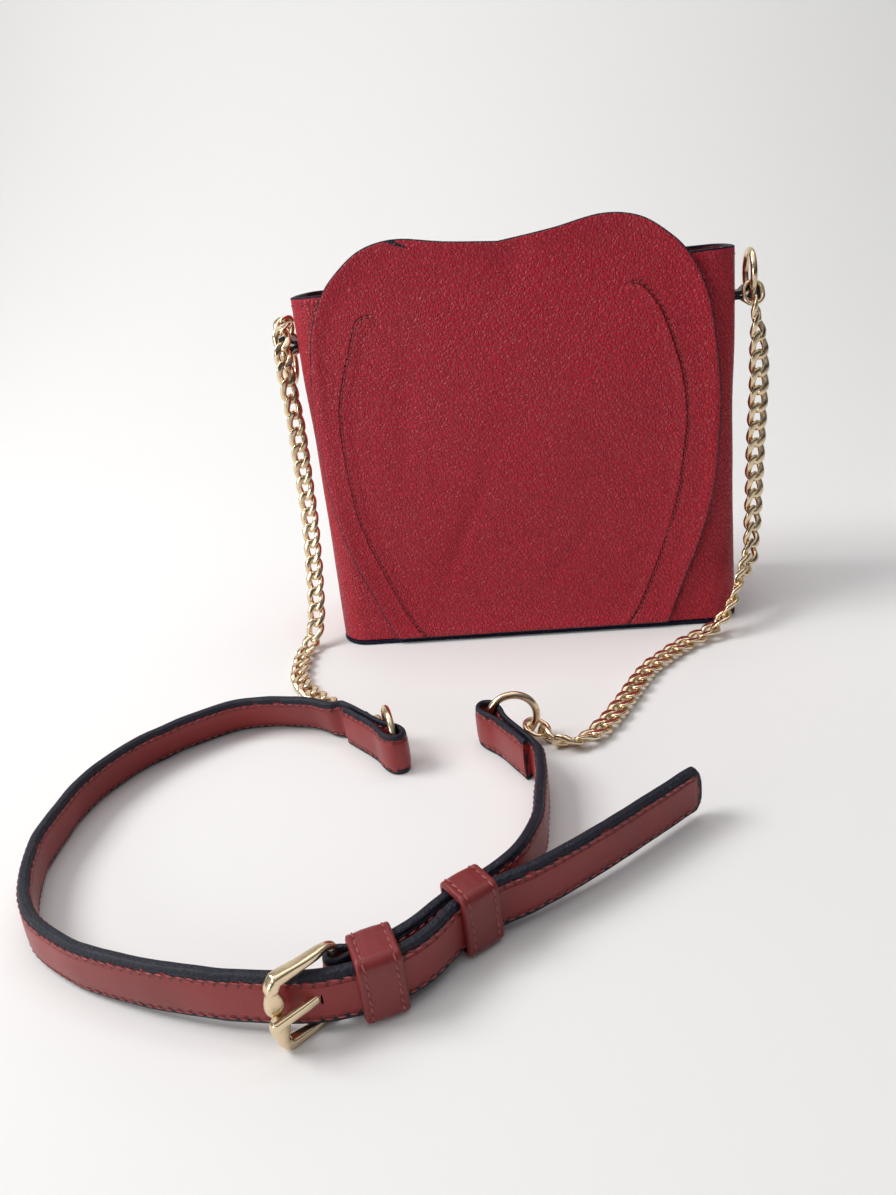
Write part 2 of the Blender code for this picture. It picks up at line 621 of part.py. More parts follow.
def fold_rows(hole, turn, way):
    """The folded end's rows, in world places, from the flap's end to the start of the full strap."""
    e = Vector((math.cos(math.radians(turn)), math.sin(math.radians(turn))))
    n = Vector((-e.y, e.x)) * way
    rows = smooth_rows([Vector(r) * STRAP_WIDTH for r in FOLD_SHARES], 2)
    return [(hole + e * r.x + n * r.y, r.z) for r in rows]


def strap_ring(name, hole, turn):
    """A ring standing on the floor, its wire through the strap's fold."""
    way = Vector((math.cos(math.radians(turn)), math.sin(math.radians(turn)), 0))
    centre = hole.to_3d() + way * RING_RADIUS
    centre.z = RING_RADIUS + RING_WIRE / 2 + GAP / 6
    pivot = (hole.x, hole.y, centre.z)
    made = torus(name, centre, way, Vector((0, 0, 1)), (GOLD, 0.22, 1.0), RING_RADIUS, RING_WIRE, pivot)
    return made, centre, way


def fold_clearance(strap, centre, way):
    """The leather is pressed clear of the ring's wire and of the little that the ring turns."""
    wire = RING_WIRE + 2 * (GAP + RING_PLAY)
    cutter = torus("fold_cutter", centre, way, Vector((0, 0, 1)), (EDGE, 0.4, 0.0), RING_RADIUS, wire)
    combine(strap, cutter, "DIFFERENCE")
    keep_outside(strap)


def strap_end_link(name, centre, way, drop_angle, turn):
    """The chain's last link, round the far side of a strap ring."""
    a = math.radians(drop_angle)
    spoke = way * math.cos(a) - Vector((0, 0, 1)) * math.sin(a)
    tangent = way * math.sin(a) + Vector((0, 0, 1)) * math.cos(a)
    pull = Matrix.Rotation(math.radians(turn), 3, "Z") @ way - Vector((0, 0, 1)) * STRAP_PULL_DROP
    return end_link(name, centre + spoke * RING_RADIUS, tangent, pull, (GOLD, 0.25, 1.0), STRAP_LINK_TURNS)


def route_rows(shares, half):
    return [Vector((x * LOOP_REACH, y * LOOP_REACH, lift * LIFT, lean, half)) for x, y, lift, lean in shares]


def straps():
    """The long and the short strap with the rings in their folds."""
    leather = (STRAP_RED, 0.38, 0.0)
    half = STRAP_THICKNESS / 2
    hole = Vector(LONG_RING_HOLE_SHARES) * LOOP_REACH
    fold = [Vector((p.x, p.y, 0, 0, h)) for p, h in fold_rows(hole, LONG_FOLD_TURN, 1)]
    route = [fold[-2], fold[-1]] + route_rows(LONG_ROUTE_SHARES, half)
    body, _ = even_rows(smooth_rows(route, 5)[5:], STRIP_STEP, 2)
    long_strap = strip("long_strap", fold + body[1:], leather)
    _, centre, way = strap_ring("strap_ring_left", hole, LONG_RING_TURN)
    fold_clearance(long_strap, centre, way)
    left_end = strap_end_link("left_strap_end_link", centre, way, LONG_RING_HOOK, LONG_PULL_TURN)
    hole = Vector(SHORT_RING_HOLE_SHARES) * LOOP_REACH
    fold = [Vector((p.x, p.y, 0, 0, h)) for p, h in fold_rows(hole, SHORT_FOLD_TURN, -1)]
    heel = Vector(HEEL_SHARES) * LOOP_REACH
    route = [fold[-2], fold[-1]] + route_rows(SHORT_ROUTE_SHARES, half)
    lap = heel_fold_rows(heel)
    body, _ = even_rows(smooth_rows(route + lap[:2], 5)[5:-5], STRIP_STEP, 2)
    short_strap = strip("short_strap", fold + body[1:-1] + smooth_rows(lap, 2), leather)
    _, centre, way = strap_ring("strap_ring_right", hole, SHORT_RING_TURN)
    fold_clearance(short_strap, centre, way)
    right_end = strap_end_link("right_strap_end_link", centre, way, SHORT_RING_HOOK, SHORT_PULL_TURN)
    return long_strap, short_strap, heel, left_end, right_end


def heel_fold_rows(heel):
    """The short strap's layers round the buckle's heel bar, from its back layer round to its front flap."""
    e = Vector((math.cos(math.radians(HEEL_FOLD_TURN)), math.sin(math.radians(HEEL_FOLD_TURN))))
    n = Vector((-e.y, e.x))
    layer = HEEL_FOLD / 2
    bend = HEEL_BAR / 2 + GAP + layer
    flat = layer + GAP / 2
    shares = ((KEEPER_LENGTH * 0.95, flat), (bend * 3.0, flat), (bend * 1.5, flat * 1.3), (bend * 0.5, bend * 0.96),
              (-bend * 0.6, bend * 0.8), (-bend, 0.0), (-bend * 0.6, -bend * 0.8), (bend * 0.5, -bend * 0.96),
              (bend * 1.5, -flat * 1.3), (bend * 3.0, -flat), (KEEPER_LENGTH * 0.9, -flat))
    return [Vector((*(heel + e * a + n * b), LIFT, 0.0, layer)) for a, b in shares]


def loop_solid(name, stations, look, pivot):
    """A closed bar: each station has its middle, its two square directions and its half sizes."""
    points = []
    for middle, first, second, a, b in stations:
        for i in range(WIRE_STEPS):
            t = math.tau * (i + 0.5) / WIRE_STEPS
            points.append(middle + first * a * math.cos(t) * 1.08 + second * b * math.sin(t) * 1.08)
    return solid(name, points, rings_to_faces(len(stations), WIRE_STEPS, True), look, True, pivot)


def buckle(heel, long_strap, short_strap):
    """The frame with its heel bar, and the prong through the long strap's hole."""
    metal = (GOLD, 0.2, 1.0)
    front = Vector(BUCKLE_FRONT_SHARES) * LOOP_REACH
    span = (front - heel).length
    along = ((front - heel) / span).to_3d()
    up = Vector((0, 0, 1))
    toward = along.cross(up)
    toward = toward if toward.y < 0 else -toward
    low = BUCKLE_FOOT + BUCKLE_ARM / 2
    high = BUCKLE_FOOT + BUCKLE_HEIGHT - BUCKLE_ARM / 2
    middle_z = (low + high) / 2
    corner = BUCKLE_CORNER
    pivot = heel.to_3d() + up * middle_z
    stations = []

    def station(x, z, turn, across, depth):
        a = math.radians(turn)
        spoke = along * math.cos(a) + up * math.sin(a)
        stations.append((heel.to_3d() + along * x + up * z, spoke, toward, across / 2, depth / 2))

    bar, bar_depth, arm, arm_depth = BUCKLE_BAR, BUCKLE_BAR_DEPTH, BUCKLE_ARM, BUCKLE_ARM_DEPTH
    half = BUCKLE_HEIGHT / 2
    for z in (middle_z - half * 0.45, middle_z - half * 0.14, middle_z, middle_z + half * 0.14, middle_z + half * 0.45):
        lobe = 0.85 if z == middle_z else 1.25
        station(span, z, 0, bar * lobe, bar_depth)
    for turn in (20, 45, 70):
        a = math.radians(turn)
        station(span - corner + corner * math.cos(a), high - corner + corner * math.sin(a), turn, bar * 0.85, bar_depth)
    station(span * 0.5, high, 90, arm, arm_depth)
    station(HEEL_BAR, high, 90, arm, arm_depth * 0.8)
    station(0, high - HEEL_BAR * 0.5, 135, HEEL_BAR, HEEL_BAR)
    station(0, high - HEEL_BAR, 180, HEEL_BAR, HEEL_BAR)
    station(0, low + HEEL_BAR, 180, HEEL_BAR, HEEL_BAR)
    station(0, low + HEEL_BAR * 0.5, 225, HEEL_BAR, HEEL_BAR)
    station(HEEL_BAR, low, 270, arm, arm_depth * 0.8)
    station(span * 0.5, low, 270, arm, arm_depth)
    for turn in (290, 315, 340):
        a = math.radians(turn)
        station(span - corner + corner * math.cos(a), low + corner + corner * math.sin(a), turn, bar * 0.85, bar_depth)
    loop_solid("buckle_frame", stations, metal, pivot)
    ring = HEEL_BAR / 2 + GAP
    outer = ring + PRONG_LOOP
    side = bar_depth / 2 * 1.08 + GAP + PRONG / 2
    reach = span + PRONG_OVERHANG
    thick = PRONG / 2
    spine = [(reach, side + thick * 0.6), (reach, side - thick * 0.4), (span * 0.85, side - thick)]
    spine += [(span * 0.3, side - thick * 1.4), (outer * 1.1, outer * 0.45)]
    spine += arc(0, 0, outer, 0, -270, 14)
    spine += [(outer * 0.8, outer * 1.1), (span * 0.3, side + thick * 0.6), (span * 0.85, side + thick)]
    cut = arc(0, 0, ring, 0, 360, 14)[:-1]
    points = [pivot + along * x + toward * y + up * z for z in (-thick, thick) for x, y in spine]
    prong = solid("buckle_prong", points, rings_to_faces(2, len(spine)), metal, False, pivot)
    points = [pivot + along * x + toward * y + up * z for z in (-PRONG, PRONG) for x, y in cut]
    combine(prong, solid("prong_cutter", points, rings_to_faces(2, len(cut)), metal), "DIFFERENCE")
    for swing in (0.0, BUCKLE_SWING / 2, BUCKLE_SWING):
        spin = Matrix.Rotation(math.radians(swing) * (1 if toward.cross(along).z < 0 else -1), 3, "Z")
        room = thick + GAP * 1.7
        low_x, high_x = outer * 0.6, reach
        points = [pivot + spin @ (along * x + toward * (y + side - thick * 0.4) + up * z)
                  for x in (low_x, high_x) for y in (-room * 1.6, room) for z in (-room, room)]
        faces = [(0, 1, 3, 2), (4, 6, 7, 5), (0, 4, 5, 1), (2, 3, 7, 6), (0, 2, 6, 4), (1, 5, 7, 3)]
        combine(long_strap, solid("hole_cutter", points, faces, metal), "DIFFERENCE")
    room = outer + GAP
    points = [pivot + along * x + toward * y + up * z
              for x in (-outer * 1.3, outer * 2) for y in (-room, room * 2.2) for z in (-thick - GAP, thick + GAP)]
    faces = [(0, 1, 3, 2), (4, 6, 7, 5), (0, 4, 5, 1), (2, 3, 7, 6), (0, 2, 6, 4), (1, 5, 7, 3)]
    combine(short_strap, solid("fold_slot", points, faces, metal), "DIFFERENCE")


def keeper(name, shares, turn, behind, length):
    """A leather band round both straps: a rounded rectangle tube standing across them."""
    centre = (Vector(shares) * LOOP_REACH).to_3d()
    e = Vector((math.cos(math.radians(turn)), math.sin(math.radians(turn)), 0))
    n = Vector((-e.y, e.x, 0))
    near = -STRAP_THICKNESS / 2 - KEEPER_CLEAR
    far = STRAP_THICKNESS / 2 + GAP + behind + KEEPER_CLEAR
    low = LIFT - KEEPER_CLEAR
    high = LIFT + STRAP_WIDTH + KEEPER_CLEAR
    points = []
    for grow, steps in ((0.0, 3), (KEEPER_WALL, 3)):
        r = KEEPER_ROUND / 2 + grow
        ring = []
        for cy, cz, a in ((far + grow - r, high + grow - r, 0), (near - grow + r, high + grow - r, 90),
                          (near - grow + r, low - grow + r, 180), (far + grow - r, low - grow + r, 270)):
            ring += arc(cy, cz, r, a, a + 90, steps)
        points.append(ring)
    inner, outer = points
    size = len(inner)
    made = []
    for x in (-length / 2, length / 2):
        for ring in (outer, inner):
            made += [centre + e * x + n * y + Vector((0, 0, z)) for y, z in ring]
    faces = []
    for k in range(size):
        m = (k + 1) % size
        faces.append((k, m, 2 * size + m, 2 * size + k))
        faces.append((size + k, 3 * size + k, 3 * size + m, size + m))
        faces.append((k, size + k, size + m, m))
        faces.append((2 * size + k, 2 * size + m, 3 * size + m, 3 * size + k))
    pivot = centre + Vector((0, 0, (low + high) / 2))
    return solid(name, made, faces, (STRAP_RED, 0.4, 0.0), False, pivot)


def main():
    for obj in list(bpy.data.objects):
        bpy.data.objects.remove(obj)
    left, right = bag_body()
    petal_panel()
    side_tabs(left, right)
    left_top, right_top = side_rings()
    long_strap, short_strap, heel, left_end, right_end = straps()
    buckle(heel, long_strap, short_strap)
    keeper("fixed_keeper", FIXED_KEEPER_SHARES, FIXED_KEEPER_TURN, 2 * HEEL_FOLD + GAP + FOLD_SLACK, KEEPER_LENGTH)
    keeper("sliding_keeper", SLIDING_KEEPER_SHARES, SLIDING_KEEPER_TURN, STRAP_THICKNESS, KEEPER_LENGTH)
    metal = (GOLD, 0.25, 1.0)
    chain("right_chain", RIGHT_CHAIN_SHARES, RIGHT_TURNS, metal, right_top, right_end)
    chain("left_chain", LEFT_CHAIN_SHARES, LEFT_TURNS, metal, left_top, left_end)


main()
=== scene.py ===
"""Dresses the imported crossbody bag: pebbled leather pouch with a petal panel, curb chains and a buckled strap.

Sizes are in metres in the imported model's own frame: +X to the bag's right, the front at -Y, +Z up.
"""

from __future__ import annotations

import logging
import math
import random
from dataclasses import dataclass, field, replace
from enum import Enum
from typing import Callable, Iterable, Sequence

import bpy
import numpy as np
from mathutils import Matrix, Vector, noise


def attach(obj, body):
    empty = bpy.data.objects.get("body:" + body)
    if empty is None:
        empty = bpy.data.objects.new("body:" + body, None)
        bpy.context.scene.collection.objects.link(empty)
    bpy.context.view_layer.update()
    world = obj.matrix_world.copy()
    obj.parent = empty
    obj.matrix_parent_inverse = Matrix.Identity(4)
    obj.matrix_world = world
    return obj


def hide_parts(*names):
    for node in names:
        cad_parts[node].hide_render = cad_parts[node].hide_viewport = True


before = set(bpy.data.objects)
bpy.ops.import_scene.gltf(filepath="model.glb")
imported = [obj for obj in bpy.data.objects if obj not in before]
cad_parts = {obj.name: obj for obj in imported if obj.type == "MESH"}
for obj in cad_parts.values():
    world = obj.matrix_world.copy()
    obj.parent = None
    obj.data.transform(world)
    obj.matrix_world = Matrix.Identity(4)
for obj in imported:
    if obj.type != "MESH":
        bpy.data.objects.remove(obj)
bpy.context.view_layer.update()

LOG = logging.getLogger("bag")
MM = 0.001
MERGE = 1e-6
RIM = 1
BAG = "bag"
SHADER = "Principled BSDF"
SHEEN_ROUGHNESS = 0.45
NO_PAINT = -0.01
UP = Vector((0.0, 0.0, 1.0))

# Distances from stitch to stitch, which the bumps' pricked holes follow too
MOUTH_PITCH = 0.0033
PETAL_PITCH = 0.0031
STRAP_PITCH = 0.0036
CROSS_PITCH = 0.0030
KEEPER_PITCH = 0.0031

# A stitch's length, width and height
MOUTH_STITCH = (0.0025, 0.00062, 0.00052)
PETAL_STITCH = (0.0021, 0.00058, 0.00040)
STRAP_STITCH = (0.0026, 0.00066, 0.00060)

# How far apart a keeper's points are along its section, and a strap's rows along its length
KEEPER_STEP = 0.0012
STRAP_STEP = 0.0016


class Slot(Enum):
    """The record's material slots."""

    PEBBLED = "pebbled_leather"
    STRAP = "strap_leather"
    EDGE = "painted_edge"
    CLOTH = "lining_cloth"
    GOLD = "gold_metal"
    BOARD = "stiffener"


class Shading(Enum):
    """How a finished piece's normals are smoothed."""

    SMOOTH = 180.0
    CREASED = 38.0
    CAST = 50.0


# Scene and edit-mode helpers


def deselect() -> None:
    """Leaves object mode with nothing selected."""
    if bpy.context.mode != "OBJECT":
        bpy.ops.object.mode_set(mode="OBJECT")
    bpy.ops.object.select_all(action="DESELECT")


def focus(obj: bpy.types.Object) -> None:
    """Makes one object the only selected and the active one.

    Args:
        obj: The object that the next operator works on.
    """
    deselect()
    obj.select_set(True)
    bpy.context.view_layer.objects.active = obj


def in_edit(obj: bpy.types.Object, steps: Sequence[Callable[[], object]]) -> None:
    """Runs operators on a whole mesh in edit mode.

    Args:
        obj: The mesh object.
        steps: Operator calls, run in order with everything selected before each.
    """
    focus(obj)
    bpy.ops.object.mode_set(mode="EDIT")
    for step in steps:
        bpy.ops.mesh.select_all(action="SELECT")
        step()
    bpy.ops.object.mode_set(mode="OBJECT")


def apply_modifiers(obj: bpy.types.Object) -> None:
    """Applies every modifier of an object, in order.

    Args:
        obj: The object whose modifiers are applied.
    """
    focus(obj)
    for modifier in list(obj.modifiers):
        bpy.ops.object.modifier_apply(modifier=modifier.name)


def shade(obj: bpy.types.Object, shading: Shading) -> None:
    """Smooths an object's normals by the angle that its shading allows.

    Args:
        obj: The finished piece.
        shading: How its normals are smoothed.
    """
    focus(obj)
    if shading is Shading.SMOOTH:
        bpy.ops.object.shade_smooth()
    else:
        bpy.ops.object.shade_smooth_by_angle(angle=math.radians(shading.value))


def dress(
    obj: bpy.types.Object,
    shading: Shading,
    materials: Sequence[bpy.types.Material],
    body: str,
    replaces: Iterable[str] = (),
) -> bpy.types.Object:
    """Gives a finished piece its normals, its materials, its body and what it stands for.

    Args:
        obj: The finished piece.
        shading: How its normals are smoothed.
        materials: Its materials, in the order of its faces' material numbers.
        body: The CAD body that it moves with.
        replaces: The CAD nodes that it stands for.

    Returns:
        The same object.
    """
    shade(obj, shading)
    numbers = [p.material_index for p in obj.data.polygons]
    obj.data.materials.clear()
    for made in materials:
        obj.data.materials.append(made)
    obj.data.polygons.foreach_set("material_index", [min(n, len(materials) - 1) for n in numbers])
    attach(obj, body)
    if replaces:
        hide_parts(*replaces)
    LOG.info("%s rides on %s, %d faces", obj.name, body, len(obj.data.polygons))
    return obj


def lofted(
    name: str,
    points: np.ndarray,
    chart: np.ndarray | None = None,
    ends: bool = False,
) -> bpy.types.Object:
    """A grid primitive whose vertices are laid on rows of points, its seams and poles merged.

    Args:
        name: The piece's name.
        points: Rows by columns of points; a first and last row or column that meet are joined.
        chart: Rows by columns of two numbers in metres, kept as the piece's own UV map.
        ends: Closes the open ends with a fan of faces.

    Returns:
        The new mesh object.
    """
    rows, columns = points.shape[:2]
    deselect()
    bpy.ops.mesh.primitive_grid_add(x_subdivisions=columns - 1, y_subdivisions=rows - 1, size=1.0)
    obj = bpy.context.active_object
    obj.name = obj.data.name = name
    mesh = obj.data
    mesh.vertices.foreach_set("co", points.reshape(-1).astype(np.float32))
    layer = mesh.uv_layers[0]
    layer.name = "chart"
    if chart is not None:
        corner = np.empty(len(mesh.loops), np.int32)
        mesh.loops.foreach_get("vertex_index", corner)
        layer.data.foreach_set("uv", chart.reshape(-1, 2)[corner].reshape(-1).astype(np.float32))
    mesh.update()
    steps: list[Callable[[], object]] = [lambda: bpy.ops.mesh.remove_doubles(threshold=MERGE)]
    if ends:
        steps.append(lambda: bpy.ops.mesh.fill_holes(sides=0))
    if ends or not open_edges(points):
        steps.append(lambda: bpy.ops.mesh.normals_make_consistent(inside=False))
    in_edit(obj, steps)
    return obj


def open_edges(points: np.ndarray) -> bool:
    """Tells whether rows of points leave an open edge on any side.

    Args:
        points: Rows by columns of points.

    Returns:
        True where a side neither meets its opposite nor ends in a pole.
    """
    for first, last in ((points[0], points[-1]), (points[:, 0], points[:, -1])):
        poles = all(np.allclose(line, line[:1], atol=MERGE) for line in (first, last))
        if not poles and not np.allclose(first, last, atol=MERGE):
            return True
    return False


def vertices(obj: bpy.types.Object) -> np.ndarray:
    """A mesh's vertices as rows of three.

    Args:
        obj: The mesh object.

    Returns:
        A row for each vertex.
    """
    out = np.empty(len(obj.data.vertices) * 3)
    obj.data.vertices.foreach_get("co", out)
    return out.reshape(-1, 3)


def reshape(obj: bpy.types.Object, points: np.ndarray | Sequence[Vector]) -> bpy.types.Object:
    """Moves a closed mesh's vertices and turns its faces outwards.

    Args:
        obj: The mesh object.
        points: A row of three for each vertex.

    Returns:
        The same object.
    """
    obj.data.vertices.foreach_set("co", np.array(points).reshape(-1))
    in_edit(obj, [lambda: bpy.ops.mesh.normals_make_consistent(inside=False)])
    return obj


def torus(turns: int, sides: int) -> tuple[bpy.types.Object, np.ndarray]:
    """A torus primitive for a loop of wire, to be reshaped.

    Args:
        turns: How many steps the loop has.
        sides: How many sides the wire has.

    Returns:
        The object, and each vertex's angles round the loop and round the wire.
    """
    deselect()
    bpy.ops.mesh.primitive_torus_add(major_segments=turns, minor_segments=sides, major_radius=1, minor_radius=0.25)
    obj = bpy.context.active_object
    x, y, z = vertices(obj).T
    return obj, np.c_[np.arctan2(y, x), np.arctan2(z, np.hypot(x, y) - 1)]


def add_mesh(
    name: str, points: np.ndarray, faces: Sequence[tuple[int, ...]], copies: int
) -> bpy.types.Object:
    """Adds one object that holds several copies of a small mesh.

    Args:
        name: The object's name.
        points: The points of all copies, one copy after another.
        faces: One copy's faces.
        copies: How many copies there are.

    Returns:
        The new object.
    """
    count = len(points) // copies
    mesh = bpy.data.meshes.new(name)
    mesh.from_pydata(points.tolist(), [], [tuple(v + i * count for v in f) for i in range(copies) for f in faces])
    obj = bpy.data.objects.new(name, mesh)
    bpy.context.scene.collection.objects.link(obj)
    return obj


def scatter(name: str, template: bpy.types.Object, places: Sequence[Matrix]) -> bpy.types.Object:
    """One object that holds a copy of a small shape at each place.

    Args:
        name: The new piece's name.
        template: The small shape, removed afterwards.
        places: A matrix for each copy.

    Returns:
        The joined object, with its own mesh.
    """
    base = np.c_[vertices(template), np.ones(len(template.data.vertices))]
    faces = [tuple(p.vertices) for p in template.data.polygons]
    points = np.concatenate([(base @ np.array(m).T)[:, :3] for m in places])
    obj = add_mesh(name, points, faces, len(places))
    bpy.data.objects.remove(template)
    return obj


def room_for(obj: bpy.types.Object, number: int) -> None:
    """Gives an object empty materials up to a number."""
    while len(obj.data.materials) <= number:
        obj.data.materials.append(None)


def cut(obj: bpy.types.Object, cutter: bpy.types.Object) -> None:
    """Cuts one closed mesh out of another and gives the cut faces the painted edge's material number.

    Args:
        obj: The piece that is cut.
        cutter: The shape that is taken away and removed.
    """
    for face in cutter.data.polygons:
        face.material_index = RIM
    room_for(obj, RIM)
    room_for(cutter, RIM)
    modifier = obj.modifiers.new("cut", "BOOLEAN")
    modifier.operation = "DIFFERENCE"
    modifier.solver = "EXACT"
    modifier.material_mode = "INDEX"
    modifier.object = cutter
    apply_modifiers(obj)
    bpy.data.objects.remove(cutter)


def hold(points: np.ndarray, low: float, high: float) -> np.ndarray:
    """A smooth step from 0 at low to 1 at high."""
    t = np.clip((points - low) / (high - low), 0.0, 1.0)
    return t * t * (3 - 2 * t)


def eased(value: float, low: float, high: float) -> float:
    """The same smooth step for one number."""
    return hold(np.array(value), low, high).item()


# Routes


def smooth_rows(rows: Sequence[Sequence[float]], per: int) -> list[Vector]:
    """Rows of numbers joined by a Catmull-Rom curve.

    Args:
        rows: The rows that the curve passes through.
        per: How many steps lie between two rows.

    Returns:
        The rows along the curve.
    """
    held = [Vector(r) for r in rows]
    padded = [held[0] * 2 - held[1]] + held + [held[-1] * 2 - held[-2]]
    made = []
    for a, b, c, d in zip(padded, padded[1:], padded[2:], padded[3:]):
        for i in range(per):
            t = i / per
            made.append(
                (b * 2 + (c - a) * t + (a * 2 - b * 5 + c * 4 - d) * t**2 + (b * 3 - a - c * 3 + d) * t**3) / 2
            )
    return made + [held[-1]]


def lengths_of(rows: Sequence[Vector], size: int) -> list[float]:
    """The running length along rows, measured over the first size numbers of each.

    Args:
        rows: The rows along a curve.
        size: How many of a row's numbers are places.

    Returns:
        The running length at each row.
    """
    lengths = [0.0]
    for a, b in zip(rows, rows[1:]):
        lengths.append(lengths[-1] + (Vector(a[:size]) - Vector(b[:size])).length)
    return lengths


def row_at(rows: Sequence[Vector], lengths: Sequence[float], place: float) -> Vector:
    """The row at one place along the running lengths.

    Args:
        rows: The rows along a curve.
        lengths: The running length at each.
        place: The length looked for.

    Returns:
        The row there, between its two neighbours.
    """
    for i in range(1, len(rows)):
        if lengths[i] >= place or i == len(rows) - 1:
            t = (place - lengths[i - 1]) / (lengths[i] - lengths[i - 1])
            return rows[i - 1].lerp(rows[i], min(max(t, 0.0), 1.0))
    return rows[-1]


def even_rows(rows: Sequence[Vector], step: float, size: int) -> tuple[list[Vector], float]:
    """Rows placed again at even steps.

    Args:
        rows: The rows along a curve.
        step: About how far apart the new rows are.
        size: How many of a row's numbers are places.

    Returns:
        The new rows and the whole length.
    """
    lengths = lengths_of(rows, size)
    count = max(2, round(lengths[-1] / step))
    return [row_at(rows, lengths, lengths[-1] * i / count) for i in range(count + 1)], lengths[-1]


def heading(turn: float) -> Vector:
    """The level direction at a turn in degrees from +X."""
    return Vector((math.cos(math.radians(turn)), math.sin(math.radians(turn)), 0))


def squircle(sides: int, power: float) -> list[tuple[float, float]]:
    """A rounded square's closed loop.

    Args:
        sides: How many sides it has.
        power: 1 for a circle, and less for squarer.

    Returns:
        Places from -1 to 1, the first repeated at the end.
    """
    made = []
    for k in range(sides + 1):
        t = math.tau * (k % sides) / sides + math.pi / sides
        a, b = math.cos(t), math.sin(t)
        made.append((math.copysign(abs(a) ** power, a), math.copysign(abs(b) ** power, b)))
    return made


def arc(cx: float, cy: float, radius: float, start: float, end: float, steps: int) -> list[tuple[float, float]]:
    """Points on an arc, its angles in degrees."""
    turns = [math.radians(start + (end - start) * i / steps) for i in range(steps + 1)]
    return [(cx + radius * math.cos(a), cy + radius * math.sin(a)) for a in turns]


# Shader helpers


class Tree:
    """A node tree that is filled with a few short calls."""

    def __init__(self, tree: bpy.types.NodeTree) -> None:
        """Keeps the tree that nodes are added to."""
        self.tree = tree

    def add(self, kind: str, **settings: object) -> bpy.types.Node:
        """Adds a node.

        Args:
            kind: The node's Blender name.
            settings: Its properties, by name.

        Returns:
            The node.
        """
        node = self.tree.nodes.new(kind)
        for name, value in settings.items():
            setattr(node, name, value)
        return node

    def feed(self, socket: bpy.types.NodeSocket, value: object) -> None:
        """Links an output to a socket, or sets the socket's own value.

        Args:
            socket: The input.
            value: A node's output, or a plain value.
        """
        if isinstance(value, bpy.types.NodeSocket):
            self.tree.links.new(value, socket)
        else:
            socket.default_value = value

    def math(self, operation: str, *values: object, clamp: bool = False) -> bpy.types.NodeSocket:
        """The result of a Math node.

        Args:
            operation: What the node works out.
            values: Its inputs, each an output or a number.
            clamp: Keeps the result from 0 to 1.

        Returns:
            The node's output.
        """
        node = self.add("ShaderNodeMath", operation=operation, use_clamp=clamp)
        for socket, value in zip(node.inputs, values):
            self.feed(socket, value)
        return node.outputs[0]

    def ramp(self, value: object, low: float, high: object) -> bpy.types.NodeSocket:
        """A smooth clamped step between two values.

        Args:
            value: What is stepped.
            low: Where the step is 0.
            high: Where it is 1.

        Returns:
            The node's output.
        """
        node = self.add("ShaderNodeMapRange", interpolation_type="SMOOTHSTEP")
        for socket, item in zip(node.inputs, (value, low, high, 0.0, 1.0)):
            self.feed(socket, item)
        return node.outputs[0]

    def noise(self, vector: object, scale: float, detail: float = 2.0, rough: float = 0.5) -> bpy.types.NodeSocket:
        """A noise value about one half.

        Args:
            vector: The coordinates.
            scale: The pattern's scale.
            detail: How many finer layers it has.
            rough: How strong those are.

        Returns:
            The node's output.
        """
        node = self.add("ShaderNodeTexNoise", noise_dimensions="3D")
        self.feed(node.inputs["Vector"], vector)
        self.feed(node.inputs["Scale"], scale)
        node.inputs["Detail"].default_value = detail
        node.inputs["Roughness"].default_value = rough
        return node.outputs[0]

    def cells(self, vector: object, scale: object, feature: str = "DISTANCE_TO_EDGE") -> bpy.types.NodeSocket:
        """A Voronoi distance.

        Args:
            vector: The coordinates.
            scale: The pattern's scale.
            feature: Which distance is measured.

        Returns:
            The node's output.
        """
        node = self.add("ShaderNodeTexVoronoi", feature=feature)
        self.feed(node.inputs["Vector"], vector)
        self.feed(node.inputs["Scale"], scale)
        return node.outputs["Distance"]

    def blend(self, share: object, first: object, second: object) -> bpy.types.NodeSocket:
        """Two colours mixed.

        Args:
            share: How much of the second there is.
            first: The first colour.
            second: The second colour.

        Returns:
            The node's output.
        """
        node = self.add("ShaderNodeMix", data_type="RGBA")
        self.feed(node.inputs["Factor"], share)
        self.feed(node.inputs[6], first)
        self.feed(node.inputs[7], second)
        return node.outputs[2]

    def place(self, vector: object, scale: Sequence[float], turn: Sequence[float] = (0, 0, 0)) -> bpy.types.NodeSocket:
        """Coordinates turned and then stretched.

        Args:
            vector: The coordinates.
            scale: The stretch on each axis.
            turn: The turn about each axis, in degrees.

        Returns:
            The node's output.
        """
        node = self.add("ShaderNodeMapping")
        self.feed(node.inputs["Vector"], vector)
        node.inputs["Rotation"].default_value = [math.radians(a) for a in turn]
        node.inputs["Scale"].default_value = scale
        return node.outputs[0]


def rgba(colour: Sequence[float]) -> tuple[float, float, float, float]:
    """A colour with its alpha."""
    return (colour[0], colour[1], colour[2], 1.0)


def effect(
    name: str, inputs: Sequence[tuple[str, str, object]], outputs: Sequence[tuple[str, str]]
) -> tuple[Tree, bpy.types.Node, bpy.types.Node]:
    """A new shader node group with its sockets.

    Args:
        name: The group's name.
        inputs: Name, socket type and default of each input.
        outputs: Name and socket type of each output.

    Returns:
        The group's tree, its input node and its output node.
    """
    group = bpy.data.node_groups.new(name, "ShaderNodeTree")
    for label, kind, value in inputs:
        socket = group.interface.new_socket(name=label, in_out="INPUT", socket_type=kind)
        if value is not None:
            socket.default_value = value
    for label, kind in outputs:
        group.interface.new_socket(name=label, in_out="OUTPUT", socket_type=kind)
    tree = Tree(group)
    return tree, tree.add("NodeGroupInput"), tree.add("NodeGroupOutput")


# Shared effects


